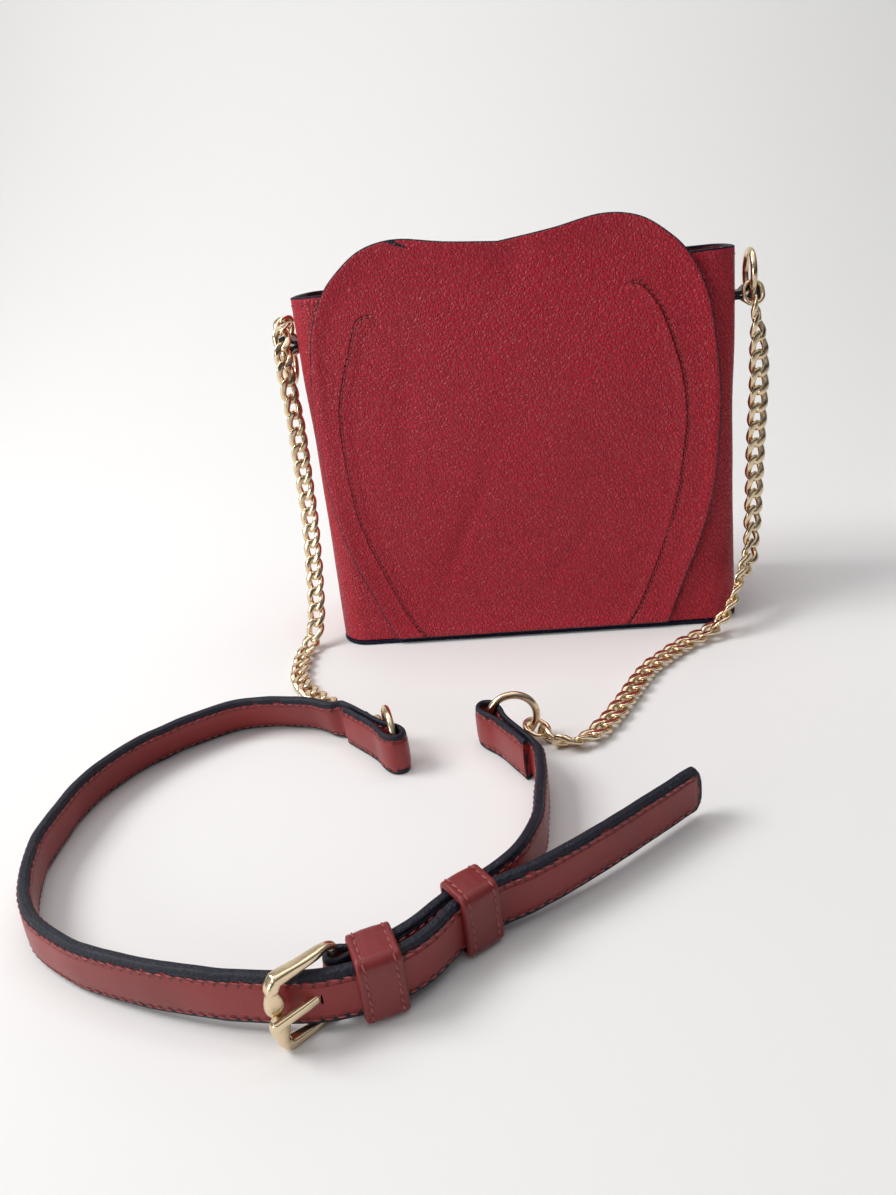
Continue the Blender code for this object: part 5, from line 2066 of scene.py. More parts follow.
@dataclass
class BuckledStrap:
    """The long strap, the short strap, the rings in their folds, the keepers and the buckle."""

    hardware: Hardware
    shape: StrapShape = field(default_factory=StrapShape)
    reach: float = 0.290
    thickness: float = 0.0044
    lift: float = 0.003
    gap: float = 0.0003
    ring_play: float = 0.0005
    heel: tuple[float, float] = (-0.1834, -0.9721)
    front: tuple[float, float] = (-0.2325, -1.0215)
    heel_turn: float = 18.0
    heel_fold: float = 0.0022
    heel_bar: float = 0.0022
    keeper_length: float = 0.0135
    keeper_wall: float = 0.0018
    keeper_clear: float = 0.0005
    keeper_round: float = 0.0012
    keeper_outer: float = 0.0032
    keeper_seam: float = 0.0022
    stitch_sink: float = 0.00004
    fold_slack: float = 0.0014
    sliding_at: tuple[float, float] = (-0.0507, -0.8900)
    sliding_turn: float = 40.0
    fixed_at: tuple[float, float] = (-0.1397, -0.9770)
    fixed_turn: float = 25.0
    buckle_foot: float = 0.00015
    buckle_height: float = 0.0262
    bar: float = 0.0036
    bar_depth: float = 0.0038
    arm: float = 0.0023
    arm_depth: float = 0.0030
    corner: float = 0.0034
    prong: float = 0.0022
    prong_loop: float = 0.0012
    overhang: float = 0.0026
    swing: float = 10.0
    chain_fall: float = 0.30
    link_turns: tuple[float, float] = (25.0, -38.0)
    long_hole: tuple[float, float] = (-0.1921, -0.5486)
    short_hole: tuple[float, float] = (-0.0595, -0.4945)
    long_route: tuple[tuple[float, float, float, float], ...] = (
        (-0.302, -0.451, 0.0, 10.0), (-0.338, -0.428, 0.0, 15.0), (-0.403, -0.4155, 0.0, 17.0),
        (-0.469, -0.4207, 0.0, 17.0), (-0.524, -0.4534, 0.0, 17.0), (-0.562, -0.4862, 0.0, 17.0),
        (-0.598, -0.5276, 0.0, 16.0), (-0.624, -0.5793, 0.0, 15.0), (-0.638, -0.6345, 0.0, 13.0),
        (-0.638, -0.6897, 0.0, 11.0), (-0.634, -0.7483, 0.0, 9.0), (-0.621, -0.791, 0.0, 7.0),
        (-0.600, -0.8372, 0.0, 5.0), (-0.577, -0.872, 0.0, 3.0), (-0.545, -0.904, 0.0, 2.0),
        (-0.479, -0.9414, 0.1, 0.0), (-0.402, -0.969, 0.5, 0.0), (-0.344, -0.984, 0.85, 0.0),
        (-0.276, -0.995, 1.0, 0.0), (-0.205, -0.9965, 1.0, 0.0), (-0.164, -0.9880, 1.0, 0.0),
        (-0.1397, -0.9770, 1.0, 0.0), (-0.116, -0.9640, 1.0, 0.0), (-0.092, -0.9400, 1.0, 0.0),
        (-0.0705, -0.9070, 1.0, 0.0), (-0.0507, -0.8900, 1.0, 0.0), (-0.031, -0.8735, 1.0, 0.0),
        (0.012, -0.8480, 1.0, 0.0), (0.069, -0.8040, 1.0, 0.0), (0.131, -0.7500, 1.0, 0.0),
        (0.2075, -0.6810, 1.0, 0.0),
    )
    short_route: tuple[tuple[float, float, float, float], ...] = (
        (0.0165, -0.6280, 0.0, 0.0), (0.0180, -0.660, 0.0, 0.0), (0.0165, -0.700, 0.1, 0.0),
        (0.0145, -0.750, 0.5, 0.0), (0.0, -0.8020, 0.9, 0.0), (-0.0180, -0.8340, 1.0, 0.0),
        (-0.0436, -0.8621, 1.0, 0.0), (-0.0616, -0.8771, 1.0, 0.0), (-0.0795, -0.8921, 1.0, 0.0),
        (-0.1069, -0.9259, 1.0, 0.0), (-0.1283, -0.9455, 1.0, 0.0),
    )
    fold_shares: tuple[tuple[float, float, float], ...] = (
        (1.75, 0.088, 0.068), (1.30, 0.086, 0.070), (0.85, 0.086, 0.070), (0.52, 0.112, 0.070),
        (0.26, 0.180, 0.070), (0.02, 0.211, 0.070), (-0.17, 0.165, 0.070), (-0.262, 0.0, 0.070),
        (-0.17, -0.165, 0.070), (0.02, -0.211, 0.070), (0.26, -0.180, 0.070), (0.52, -0.112, 0.070),
        (0.85, -0.086, 0.070), (1.30, -0.086, 0.070), (1.72, -0.080, 0.074), (2.05, -0.040, 0.112),
    )
    finishes: dict[str, bpy.types.Material] = field(default_factory=dict)

    def buckle_axes(self) -> BuckleAxes:
        """The buckle's place and directions.

        Returns:
            Its heel, pivot, directions and length.
        """
        heel, front = ((Vector(at) * self.reach).to_3d() for at in (self.heel, self.front))
        span = (front - heel).length
        along = (front - heel) / span
        toward = along.cross(UP)
        toward = toward if toward.y < 0 else -toward
        pivot = heel + UP * (self.buckle_foot + self.buckle_height / 2)
        return BuckleAxes(heel, pivot, along, toward, span)

    def prong_side(self) -> float:
        """How far in front of the frame's middle the prong's own middle lies."""
        return self.bar_depth / 2 * 1.08 + self.gap + self.prong / 2

    def fold(self, hole: Vector, turn: float, way: int) -> list[Vector]:
        """The rows of a folded end, from the flap's end to where the full strap starts.

        Args:
            hole: Where the ring's wire passes.
            turn: The strap's heading from there, in degrees.
            way: Which side the flap lies on, as a sign.

        Returns:
            Rows of x, y, lift, lean and half thickness.
        """
        e = heading(turn).to_2d()
        n = Vector((-e.y, e.x)) * way
        rows = smooth_rows([Vector(r) * self.shape.width for r in self.fold_shares], 8)
        return [Vector((*(hole + e * r.x + n * r.y), 0, 0, r.z)) for r in rows]

    def route(self, shares: Sequence[tuple[float, float, float, float]]) -> list[Vector]:
        """A route's rows in metres."""
        half = self.thickness / 2
        return [Vector((x * self.reach, y * self.reach, lift * self.lift, lean, half)) for x, y, lift, lean in shares]

    def ring_cutter(self, centre: Vector, way: Vector) -> bpy.types.Object:
        """The room that a strap ring's wire takes in the fold.

        Args:
            centre: The ring's middle.
            way: A level direction in its plane.

        Returns:
            The shape to cut away.
        """
        wire = self.hardware.ring_wire / 2 + self.gap + self.ring_play
        across = way.cross(UP)
        obj, angles = torus(64, 14)
        points = []
        for a, b in angles:
            spoke = way * math.cos(a) + UP * math.sin(a)
            reach = self.hardware.ring_radius + wire * math.cos(b)
            points.append(centre + spoke * reach + across * wire * math.sin(b))
        return reshape(obj, points)

    def block(self, points: Sequence[Vector]) -> bpy.types.Object:
        """A six-sided cutter from its eight corners, in the order of x, then y, then z.

        Args:
            points: The eight corners.

        Returns:
            The shape to cut away.
        """
        deselect()
        bpy.ops.mesh.primitive_cube_add(size=2)
        obj = bpy.context.active_object
        return reshape(obj, [points[4 * (x > 0) + 2 * (y > 0) + (z > 0)] for x, y, z in vertices(obj)])

    def strap_ring(self, name: str, node: str, hole: Vector, turn: float, body: str) -> tuple[Vector, Vector]:
        """Builds the ring that stands in a strap's fold, and gives its middle and its direction.

        Args:
            name: The piece's name.
            node: The CAD node that it stands for.
            hole: Where the fold holds its wire.
            turn: Its plane's heading, in degrees.
            body: The body that it moves with.

        Returns:
            The ring's middle and a level direction in its plane.
        """
        way = heading(turn)
        centre = hole.to_3d() + way * self.hardware.ring_radius
        centre.z = self.hardware.ring_radius + self.hardware.ring_wire / 2 + self.gap / 6
        self.hardware.ring(name, node, centre, way, body)
        return centre, way

    def chain_hook(self, node: str, centre: Vector, way: Vector, drop: float, turn: float) -> tuple[Vector, Vector]:
        """Builds the end link on a strap ring, and gives its chain's end and broad axis.

        Args:
            node: The CAD node that it stands for.
            centre: The ring's middle.
            way: A level direction in its plane.
            drop: How far below level the link hangs on the ring, in degrees.
            turn: How far the chain turns from the ring's plane, in degrees.

        Returns:
            The chain's end and its last link's broad axis.
        """
        a = math.radians(drop)
        hook = centre + (way * math.cos(a) - UP * math.sin(a)) * self.hardware.ring_radius
        tangent = way * math.sin(a) + UP * math.cos(a)
        pull = Matrix.Rotation(math.radians(turn), 3, "Z") @ way - UP * self.chain_fall
        return self.hardware.end_link(node, hook, tangent, pull, self.link_turns)

    def flap_cross(self, rows: Sequence[Vector], places_at: Sequence[float]) -> list[Matrix]:
        """Stitches that run across a flap, at places along its rows.

        Args:
            rows: The strap's rows.
            places_at: The lengths at which the stitches cross.

        Returns:
            A matrix for each stitch.
        """
        lengths = lengths_of(rows, 2)
        made: list[Matrix] = []
        for at in places_at:
            i = min(range(len(rows)), key=lambda k: abs(lengths[k] - at))
            centre, side, up = self.shape.axes(rows, i)
            for face in (-1, 1):
                line = [centre + side * face * (rows[i][4] + 0.0001) + up * b * 0.001 for b in range(-6, 7)]
                made += stitch_places(line, [side * face] * len(line), CROSS_PITCH, 14.0)
        return made

    def stitched(self, name: str, places: list[Matrix], body: str = BAG) -> None:
        """Builds and dresses a strap's stitches.

        Args:
            name: The piece's name.
            places: A matrix for each stitch.
            body: The body that it moves with.
        """
        obj = scatter(name, stitch_template(*STRAP_STITCH), places)
        dress(obj, Shading.SMOOTH, [self.finishes["strap_thread"]], body)

    def long_strap(self) -> tuple[Vector, Vector]:
        """Builds the long strap, and gives the left chain's end and broad axis.

        Returns:
            The chain's end and its last link's broad axis.
        """
        hole = Vector(self.long_hole) * self.reach
        fold = self.fold(hole, 137.0, 1)
        rows = [fold[-9], fold[-1]] + self.route(self.long_route)
        body, _ = even_rows(smooth_rows(rows, 10)[10:], STRAP_STEP, 2)
        rows = fold + body[1:]
        obj = self.shape.body("long_strap_leather", rows, tail=0.0024)
        centre, way = self.strap_ring("left_strap_ring", "strap_ring_left", hole, 110.0, "long_strap_ring")
        cut(obj, self.ring_cutter(centre, way))
        axes = self.buckle_axes()
        room = self.prong / 2 + self.gap * 1.7
        side = self.prong_side() - self.prong * 0.2
        way_round = 1 if axes.toward.cross(axes.along).z < 0 else -1
        for swing in (0.0, self.swing / 2, self.swing):
            spin = Matrix.Rotation(math.radians(swing) * way_round, 3, "Z")
            corners = [
                axes.pivot + spin @ (axes.place(x, y + side, z) - axes.pivot)
                for x in (axes.span * 0.33, axes.span * 0.46)
                for y in (-room * 1.6, room * 0.15)
                for z in (-room, room)
            ]
            cut(obj, self.block(corners))
        dress(obj, Shading.CAST, [self.finishes["strap"], self.finishes["edge"]], BAG, ["long_strap"])
        total = lengths_of(rows, 2)[-1]
        start = lengths_of(fold, 2)[-1]
        places = self.shape.seam(rows, start * 0.60, total - 0.004)
        places += self.shape.seam(rows, 0.0006, start * 0.36)
        places += self.flap_cross(rows, (0.0026,))
        self.stitched("long_strap_stitches", places)
        return self.chain_hook("left_strap_end_link", centre, way, 38.0, 15.0)

    def heel_rows(self, heel: Vector) -> list[Vector]:
        """The short strap's layers round the buckle's heel bar.

        Args:
            heel: The heel bar's middle on the floor.

        Returns:
            Rows of x, y, lift, lean and half thickness.
        """
        e = heading(self.heel_turn).to_2d()
        n = Vector((-e.y, e.x))
        layer = self.heel_fold / 2
        bend = self.heel_bar / 2 + self.gap + layer
        flat = layer + self.gap / 2
        shares = (
            (self.keeper_length * 0.95, flat), (bend * 3.0, flat), (bend * 1.5, flat * 1.3),
            (bend * 0.5, bend * 0.96), (-bend * 0.6, bend * 0.8), (-bend, 0.0), (-bend * 0.6, -bend * 0.8),
            (bend * 0.5, -bend * 0.96), (bend * 1.5, -flat * 1.3), (bend * 3.0, -flat),
            (self.keeper_length * 0.9, -flat),
        )
        return [Vector((*(heel + e * a + n * b), self.lift, 0.0, layer)) for a, b in shares]

    def short_strap(self) -> tuple[Vector, Vector]:
        """Builds the short strap, and gives the right chain's end and broad axis.

        Returns:
            The chain's end and its last link's broad axis.
        """
        hole = Vector(self.short_hole) * self.reach
        fold = self.fold(hole, -57.0, -1)
        axes = self.buckle_axes()
        lap = self.heel_rows(axes.heel.to_2d())
        rows = [fold[-9], fold[-1]] + self.route(self.short_route) + lap[:2]
        body, _ = even_rows(smooth_rows(rows, 10)[10:-10], STRAP_STEP, 2)
        rows = fold + body[1:-1] + smooth_rows(lap, 6)
        obj = self.shape.body("short_strap_leather", rows)
        centre, way = self.strap_ring("right_strap_ring", "strap_ring_right", hole, 9.0, "short_strap_ring")
        cut(obj, self.ring_cutter(centre, way))
        outer = self.heel_bar / 2 + self.gap + self.prong_loop
        room, half = outer + self.gap, self.prong / 2 + self.gap
        corners = [
            axes.place(x, y, z)
            for x in (-outer * 1.3, outer * 2)
            for y in (-room, room * 2.2)
            for z in (-half, half)
        ]
        cut(obj, self.block(corners))
        dress(obj, Shading.CAST, [self.finishes["strap"], self.finishes["edge"]], BAG, ["short_strap"])
        start = lengths_of(fold, 2)[-1]
        whole = lengths_of(fold + body[1:-1], 2)[-1]
        places = self.shape.seam(rows, start * 0.60, whole - 0.002) + self.shape.seam(rows, 0.0006, start * 0.36)
        places += self.flap_cross(rows, (0.0026, 0.0062))
        self.stitched("short_strap_stitches", places)
        return self.chain_hook("right_strap_end_link", centre, way, 35.0, -45.0)

    def keeper(self, node: str, at: tuple[float, float], turn: float, behind: float, body: str) -> None:
        """Builds and dresses one leather keeper with its two stitch rows.

        Args:
            node: The CAD node that it stands for.
            at: Its place on the floor, in shares of the loop's reach.
            turn: The straps' heading there, in degrees.
            behind: How thick the layers behind the front strap are.
            body: The body that it moves with.
        """
        centre = (Vector(at) * self.reach).to_3d()
        e = heading(turn)
        n = Vector((-e.y, e.x, 0))
        near = -self.thickness / 2 - self.keeper_clear
        far = self.thickness / 2 + self.gap + behind + self.keeper_clear
        low, high = self.lift - self.keeper_clear, self.lift + self.shape.width + self.keeper_clear

        def ring_of(grow: float, r: float) -> list[tuple[float, float, float, float]]:
            """The band's closed section.

            Args:
                grow: How far out from the inner face it lies.
                r: Its corners' radius.

            Returns:
                Rows of place and outward direction, across the straps and up.
            """
            out: list[tuple[float, float, float, float]] = []
            spots = ((far + grow - r, high + grow - r, 0), (near - grow + r, high + grow - r, 90),
                     (near - grow + r, low - grow + r, 180), (far + grow - r, low - grow + r, 270))
            for cy, cz, start in spots:
                for a in np.radians(np.linspace(start, start + 90, 9)):
                    out.append((cy + r * math.cos(a), cz + r * math.sin(a), math.cos(a), math.sin(a)))
            dense: list[tuple[float, float, float, float]] = []
            for k, (p, q) in enumerate(zip(out, out[1:] + out[:1])):
                side = (far - near) if k % 18 < 9 else (high - low)
                parts = 1 if k % 9 < 8 else round(side / KEEPER_STEP)
                for s in range(parts):
                    t = s / parts
                    dense.append(tuple(a + (b - a) * t for a, b in zip(p, q)))
            return dense + dense[:1]

        wall, half = self.keeper_wall, self.keeper_length / 2
        inner_ring = ring_of(0.0, self.keeper_round / 2)
        outer_ring = ring_of(wall, self.keeper_outer)
        rows, chart = [], []
        profile: list[tuple[float, float, float]] = []
        for x in np.linspace(-1, 1, 41):
            edge = (1 - abs(x)) * half
            roll = min(edge / 0.0009, 1.0)
            lift = wall * (0.28 + 0.72 * math.sqrt(1 - (1 - roll) ** 2))
            lift -= 0.00020 * math.exp(-(((edge - self.keeper_seam) / 0.00035) ** 2))
            lift += 0.00018 * eased(edge, 0.0028, 0.0055)
            profile.append((x * half, lift, edge))
        profile += [(x * half, 0.0, -0.001) for x in np.linspace(1, -1, 9)]
        profile.append(profile[0])
        for x, lift, edge in profile:
            row = []
            for (y, z, ny, nz), (oy, oz, _, _) in zip(inner_ring, outer_ring):
                puff = 0.00012 * ripple_at(x * 300, z * 220, y * 220 + turn) * (lift > 0)
                t = lift / wall
                row.append(centre + e * x + n * (y + (oy - y) * t + ny * puff) + UP * (z + (oz - z) * t + nz * puff))
            rows.append(row)
            chart.append([(edge, KEEPER_STEP * k) for k in range(len(row))])
        obj = lofted(f"{node}_band", np.array(rows), np.array(chart))
        dress(obj, Shading.CAST, [self.finishes["keeper"]], body, [node])
        places: list[Matrix] = []
        for x in (-half + self.keeper_seam, half - self.keeper_seam):
            sunk = [(y - ny * self.stitch_sink, z - nz * self.stitch_sink) for y, z, ny, nz in outer_ring]
            line = [centre + e * x + n * y + UP * z for y, z in sunk]
            outs = [n * ny + UP * nz for _, _, ny, nz in outer_ring]
            places += stitch_places(line, outs, KEEPER_PITCH, 7.0)
        self.stitched(f"{node}_stitches", places, body)

    def buckle(self) -> None:
        """Builds and dresses the cast frame with its heel bar, and the prong."""
        axes = self.buckle_axes()
        span = axes.span
        low = self.buckle_foot + self.arm / 2
        high = self.buckle_foot + self.buckle_height - self.arm / 2
        middle, half = (low + high) / 2, self.buckle_height / 2
        stations: list[Vector] = []

        def station(x: float, z: float, turn: float, across: float, depth: float) -> None:
            """Adds one section: its place, the way out of the frame there, and its two widths."""
            stations.append(Vector((x, z, *heading(turn).to_2d(), across / 2, depth / 2)))

        for share, lobe in ((-0.62, 1.05), (-0.42, 1.50), (-0.26, 1.62), (-0.16, 1.36), (-0.09, 0.90), (0.0, 0.84),
                            (0.09, 0.90), (0.16, 1.36), (0.26, 1.62), (0.42, 1.50), (0.62, 1.05)):
            station(span, middle + half * share, 0, self.bar * lobe, self.bar_depth)
        c = self.corner
        for turn in (15, 35, 55, 75):
            x, z = heading(turn).to_2d() * c + Vector((span - c, high - c))
            station(x, z, turn, self.bar * 1.12, self.bar_depth * 1.15)
        station(span * 0.55, high - self.arm * 0.12, 90, self.arm * 1.34, self.arm_depth * 1.3)
        station(span * 0.30, high - self.arm * 0.10, 90, self.arm * 1.24, self.arm_depth * 1.25)
        station(self.heel_bar, high, 90, self.arm, self.arm_depth * 0.9)
        station(0, high - self.heel_bar * 0.5, 135, self.heel_bar, self.heel_bar)
        for share in (1.0, 0.6, 0.2, -0.2, -0.6, -1.0):
            station(0, middle + (high - self.heel_bar - middle) * share, 180, self.heel_bar, self.heel_bar)
        station(0, low + self.heel_bar * 0.5, 225, self.heel_bar, self.heel_bar)
        station(self.heel_bar, low, 270, self.arm, self.arm_depth * 0.8)
        station(span * 0.30, low, 270, self.arm, self.arm_depth * 0.9)
        station(span * 0.55, low, 270, self.arm * 1.05, self.arm_depth)
        for turn in (285, 305, 325, 345):
            x, z = heading(turn).to_2d() * c + Vector((span - c, low + c))
            station(x, z, turn, self.bar * 0.92, self.bar_depth)
        wrapped = stations[-2:] + stations + stations[:3]
        smooth = smooth_rows(wrapped, 5)[10:-10]
        rows = []
        for item in smooth[: len(stations) * 5] + [smooth[0]]:
            core = axes.heel + axes.along * item[0] + UP * item[1]
            spoke = (axes.along * item[2] + UP * item[3]).normalized()
            rows.append([core + spoke * a * item[4] + axes.toward * b * item[5] for a, b in squircle(24, 0.62)])
        rows[-1] = rows[0]
        obj = lofted("buckle_cast_frame", np.array(rows))
        dress(obj, Shading.CAST, [self.finishes["gold"]], "buckle", ["buckle_frame"])
        self.pin(axes)

    def pin(self, axes: BuckleAxes) -> None:
        """Builds and dresses the prong: an eye round the heel bar and a bar that lies over the frame.

        Args:
            axes: The buckle's place and directions.
        """
        span, side, thick = axes.span, self.prong_side(), self.prong / 2
        far, tip = span + self.overhang, side + thick * 0.1
        mid = self.heel_bar / 2 + self.gap + self.prong_loop / 2
        eye = np.radians(np.linspace(-265, 20, 22))
        path = [(mid * math.cos(a), mid * math.sin(a), self.prong_loop / 2) for a in eye]
        path += [
            (mid * 1.15, mid * 0.95, thick * 0.72), (span * 0.32, side * 0.80, thick * 0.90),
            (span * 0.6, side - thick * 0.1, thick * 0.95), (span * 0.85, side, thick),
            (far - 0.0012, tip, thick), (far - 0.0004, tip, thick * 0.96), (far, tip, thick * 0.80),
        ]
        path = smooth_rows(path, 3)
        rows = []
        for i, item in enumerate(path):
            before, after = path[max(i - 1, 0)], path[min(i + 1, len(path) - 1)]
            run = Vector((after[0] - before[0], after[1] - before[1])).normalized()
            spoke = axes.along * -run.y + axes.toward * run.x
            core = axes.place(item[0], item[1], 0.0)
            rows.append([core + spoke * a * item[2] + UP * b * thick * 1.34 for a, b in squircle(20, 0.55)])
        obj = lofted("buckle_pin", np.array(rows), ends=True)
        dress(obj, Shading.CAST, [self.finishes["gold"]], "prong", ["buckle_prong"])

    def build(self) -> list[tuple[Vector, Vector]]:
        """Builds the strap assembly.

        Returns:
            Where each chain ends and its last broad axis, left then right.
        """
        left = self.long_strap()
        right = self.short_strap()
        folded = 2 * self.heel_fold + self.gap + self.fold_slack
        self.keeper("fixed_keeper", self.fixed_at, self.fixed_turn, folded, BAG)
        self.keeper("sliding_keeper", self.sliding_at, self.sliding_turn, self.thickness, "sliding_loop")
        self.buckle()
        return [left, right]


# Studio


@dataclass
class Studio:
    """The pale floor with its cove, the soft lights and the camera."""

    lens: float = 27.02
    sensor: float = 36.0
    place: tuple[float, float, float] = (0.0208, -0.4705, 0.2094)
    right: tuple[float, float, float] = (0.988, 0.097, -0.118)
    up: tuple[float, float, float] = (0.070, 0.402, 0.913)
    tone: float = 0.835
    ambient: float = 0.25
    backdrop: float = 0.80
    cove_from: float = 0.40
    cove_radius: float = 0.90

    def floor(self) -> None:
        """Builds the floor that sweeps up behind the bag."""
        start, radius = self.cove_from, self.cove_radius
        line = [(-1.6, 0.0), (-1.0, 0.0), (start, 0.0)]
        turns = np.radians(np.linspace(3, 90, 30))
        line += [(start + radius * math.sin(a), radius - radius * math.cos(a)) for a in turns]
        line += [(start + radius, 1.4), (start + radius, 2.0)]
        rows = [[(x, y, z - 0.00002) for x in np.linspace(-2.6, 2.6, 5)] for y, z in line]
        obj = lofted("floor_and_cove", np.array(rows))
        shade(obj, Shading.SMOOTH)
        material = bpy.data.materials.new("pale_paper")
        material.use_nodes = True
        tree = Tree(material.node_tree)
        shader = material.node_tree.nodes[SHADER]
        place = tree.add("ShaderNodeTexCoord").outputs["Object"]
        slow = tree.noise(place, 3.0, 2.0, 0.5)
        plain = rgba([self.tone * share for share in (1.0, 0.992, 0.982)])
        shaded = rgba([self.tone * share for share in (0.98, 0.975, 0.965)])
        tree.feed(shader.inputs["Base Color"], tree.blend(slow, plain, shaded))
        shader.inputs["Roughness"].default_value = 0.75
        shader.inputs["Specular IOR Level"].default_value = 0.25
        obj.data.materials.clear()
        obj.data.materials.append(material)

    def lamp(
        self, name: str, place: Sequence[float], at: Sequence[float], size: tuple[float, float], power: float,
        colour: Sequence[float] = (1.0, 1.0, 1.0),
    ) -> None:
        """Adds one soft rectangular light that looks at a place.

        Args:
            name: The light's name.
            place: Where it stands.
            at: Where it looks.
            size: Its width and height.
            power: Its power in watts.
            colour: Its colour.
        """
        data = bpy.data.lights.new(name, "AREA")
        data.shape = "RECTANGLE"
        data.size, data.size_y = size
        data.energy = power
        data.color = colour
        obj = bpy.data.objects.new(name, data)
        bpy.context.scene.collection.objects.link(obj)
        obj.location = place
        obj.rotation_euler = (Vector(at) - Vector(place)).to_track_quat("-Z", "Y").to_euler()

    def lights(self) -> None:
        """Adds the key from the left, the overhead and front fills, and the light on the wall behind."""
        self.lamp("key_left", (-1.15, -0.20, 1.27), (0.0, -0.10, 0.05), (0.76, 0.76), 19.6, (1.0, 0.992, 0.98))
        self.lamp("top_fill", (0.10, -0.25, 1.5), (0.0, -0.12, 0.0), (1.4, 1.4), 5.2)
        self.lamp("front_fill", (-0.95, -1.05, 0.38), (0.0, 0.0, 0.08), (0.8, 0.5), 5.0)
        self.lamp("back_wash", (0.0, 0.35, 1.5), (0.0, 1.2, 0.45), (1.8, 0.5), 6.0)

    def world(self) -> None:
        """Adds the pale surroundings, darker low down in front and to the right, where the gold mirrors them."""
        world = bpy.data.worlds.new("soft_surroundings")
        bpy.context.scene.world = world
        world.use_nodes = True
        tree = Tree(world.node_tree)
        back = world.node_tree.nodes["Background"]
        place = tree.add("ShaderNodeTexCoord").outputs["Generated"]
        parts = tree.add("ShaderNodeSeparateXYZ")
        tree.feed(parts.inputs[0], place)
        sky = tree.ramp(parts.outputs[2], -0.2, 0.75)
        dark = tree.ramp(parts.outputs[1], -0.15, -0.85)
        dark = tree.math("MAXIMUM", dark, tree.ramp(parts.outputs[0], 0.25, 0.95))
        low = tree.ramp(parts.outputs[2], 0.60, 0.10)
        shade_of = tree.math("MULTIPLY", dark, low)
        colour = tree.blend(sky, rgba((0.70, 0.70, 0.70)), rgba((0.95, 0.96, 1.0)))
        seen = tree.add("ShaderNodeLightPath").outputs["Is Camera Ray"]
        lit = tree.blend(shade_of, colour, rgba((0.04, 0.037, 0.037)))
        tree.feed(back.inputs["Color"], tree.blend(seen, lit, rgba([self.backdrop / self.ambient] * 3)))
        back.inputs["Strength"].default_value = self.ambient

    def camera(self) -> None:
        """Adds the camera at the photograph's place."""
        data = bpy.data.cameras.new("view")
        data.sensor_fit = "AUTO"
        data.sensor_width = self.sensor
        data.lens = self.lens
        data.clip_start = 0.01
        obj = bpy.data.objects.new("view", data)
        bpy.context.scene.collection.objects.link(obj)
        right = Vector(self.right).normalized()
        up = (Vector(self.up) - right * right.dot(Vector(self.up))).normalized()
        turn = Matrix((right, up, right.cross(up))).transposed()
        obj.matrix_world = Matrix.Translation(Vector(self.place)) @ turn.to_4x4()
        bpy.context.scene.camera = obj

    def build(self) -> None:
        """Sets up the whole studio."""
        bpy.context.scene.view_settings.view_transform = "Standard"
        self.floor()
        self.lights()
        self.world()
        self.camera()


RIGHT_CHAIN = (
    (0.408, -0.0410, 0.486), (0.410, -0.045, 0.414), (0.407, -0.050, 0.345), (0.4035, -0.055, 0.276),
    (0.401, -0.062, 0.207), (0.396, -0.076, 0.150), (0.388, -0.100, 0.108), (0.3645, -0.141, 0.085),
    (0.346, -0.168, 0.058), (0.328, -0.185, 0.036), (0.303, -0.199, 0.0175), (0.276, -0.217, 0.0125),
    (0.245, -0.243, 0.0100), (0.214, -0.279, 0.0096), (0.187, -0.314, 0.0096), (0.165, -0.359, 0.0096),
    (0.145, -0.403, 0.0096), (0.124, -0.446, 0.0096), (0.098, -0.490, 0.0106), (0.068, -0.516, 0.0125),
    (0.042, -0.518, 0.0145),
)
LEFT_CHAIN = (
    (-0.4020, 0.0350, 0.5680), (-0.4020, 0.0190, 0.5800), (-0.4010, -0.004, 0.5800), (-0.3990, -0.028, 0.5660),
    (-0.3980, -0.044, 0.5400), (-0.3975, -0.053, 0.507), (-0.3970, -0.056, 0.470), (-0.3970, -0.052, 0.435),
    (-0.3980, -0.050, 0.390), (-0.3995, -0.052, 0.340), (-0.4000, -0.057, 0.290), (-0.4000, -0.064, 0.240),
    (-0.4005, -0.078, 0.190), (-0.4020, -0.096, 0.130), (-0.4050, -0.113, 0.075), (-0.4090, -0.124, 0.043),
    (-0.4160, -0.138, 0.0200), (-0.4210, -0.157, 0.0118), (-0.4220, -0.191, 0.0102), (-0.4165, -0.234, 0.0096),
    (-0.4080, -0.272, 0.0096), (-0.390, -0.308, 0.0096), (-0.358, -0.346, 0.0096), (-0.315, -0.385, 0.0096),
    (-0.272, -0.425, 0.0112), (-0.238, -0.452, 0.0138),
)
RIGHT_TURNS = (10.0, 5.0, 7.0, 13.0, 32.0, 60.0, 95.0, 120.0, 135.0, 150.0, 155.0, 115.0)
LEFT_TURNS = (0.0, 10.0, 40.0, 20.0, 0.0, 0.0, 0.0, 0.0, 5.0, 25.0, 48.0, 55.0)


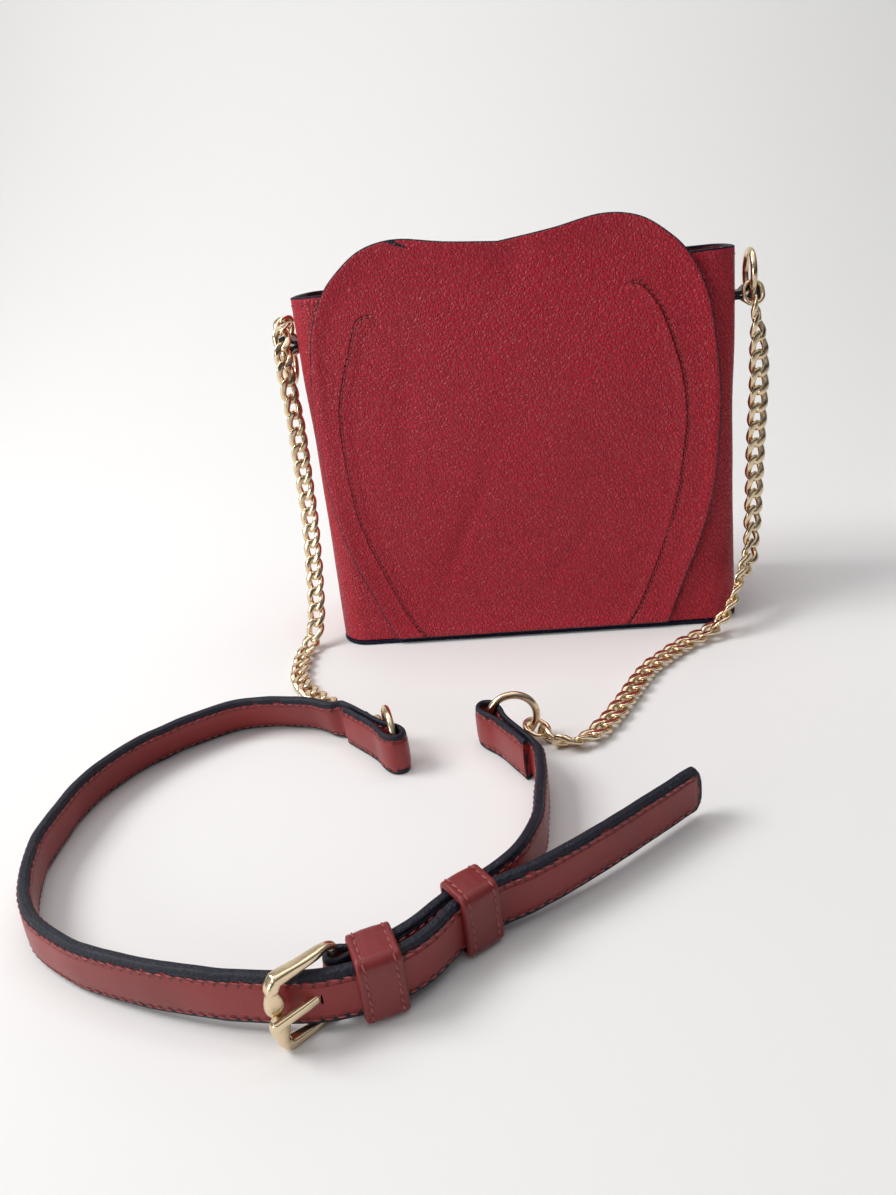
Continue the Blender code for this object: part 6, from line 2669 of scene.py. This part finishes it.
def make_finishes() -> dict[str, bpy.types.Material]:
    """Makes every material once.

    Returns:
        The materials by their short names.
    """
    pebbled = PebbledLeather("pebbled_leather", roughness=0.38, specular=0.40, coat_roughness=0.35)
    petal = replace(pebbled, name="petal_leather", roughness=0.35, specular=0.37, seam=True, edge=True)
    strap = StrapLeather("strap_leather", roughness=0.35, specular=0.37, coat=0.05, coat_roughness=0.3)
    plain = replace(strap, reach=NO_PAINT, ragged=0.0, groove=False)
    thread = Thread("petal_thread", roughness=0.62, specular=0.4, sheen=0.15)
    made = {
        "pebbled": pebbled,
        "petal": petal,
        "strap": strap,
        "keeper": replace(plain, name="keeper_leather", colour=(0.22, 0.024, 0.026)),
        # The facing's leather colour is darkened well below the strap's: painted shade for the dark inside of the
        # mouth
        "facing": replace(
            plain, name="facing_leather_shade_darkened", roughness=0.5, specular=0.35, coat=0.0, coat_roughness=0.2,
            charted=False, colour=(0.11, 0.012, 0.014), dark_tone_and_crease_shade=(0.06, 0.008, 0.009),
        ),
        "tab": replace(
            strap, name="tab_leather", roughness=0.42, specular=0.5, coat=0.10,
            groove=False, charted=False, reach=0.0012, colour=(0.08, 0.018, 0.024),
        ),
        "edge": EdgePaint("painted_edge", roughness=0.42, specular=0.10, coat_roughness=0.25),
        "thread": thread,
        "strap_thread": replace(thread, name="strap_thread", colour=(0.42, 0.09, 0.09)),
        "gold": GoldPlate("pale_gold", roughness=0.24, metallic=1.0),
        "cloth": LiningCloth("lining_cloth", roughness=0.8, specular=0.3, sheen=0.2),
        "board": GreyBoard("grey_board", roughness=0.85, specular=0.3),
    }
    return {label: finish.make() for label, finish in made.items()}


def main() -> None:
    """Builds the studio, then the bag from the body out."""
    logging.basicConfig(level=logging.INFO, format="%(name)s: %(message)s")
    Studio().build()
    finishes = make_finishes()
    Pouch(finishes=finishes).build()
    Petal(finishes=finishes).build()
    hardware = Hardware(gold=finishes["gold"])
    tops = SideHangers(hardware, finishes=finishes).build()
    ends = BuckledStrap(hardware, finishes=finishes).build()
    hardware.chain("left_chain", LEFT_CHAIN, LEFT_TURNS, tops[0], ends[0])
    hardware.chain("right_chain", RIGHT_CHAIN, RIGHT_TURNS, tops[1], ends[1])


if __name__ == "__main__":
    main()
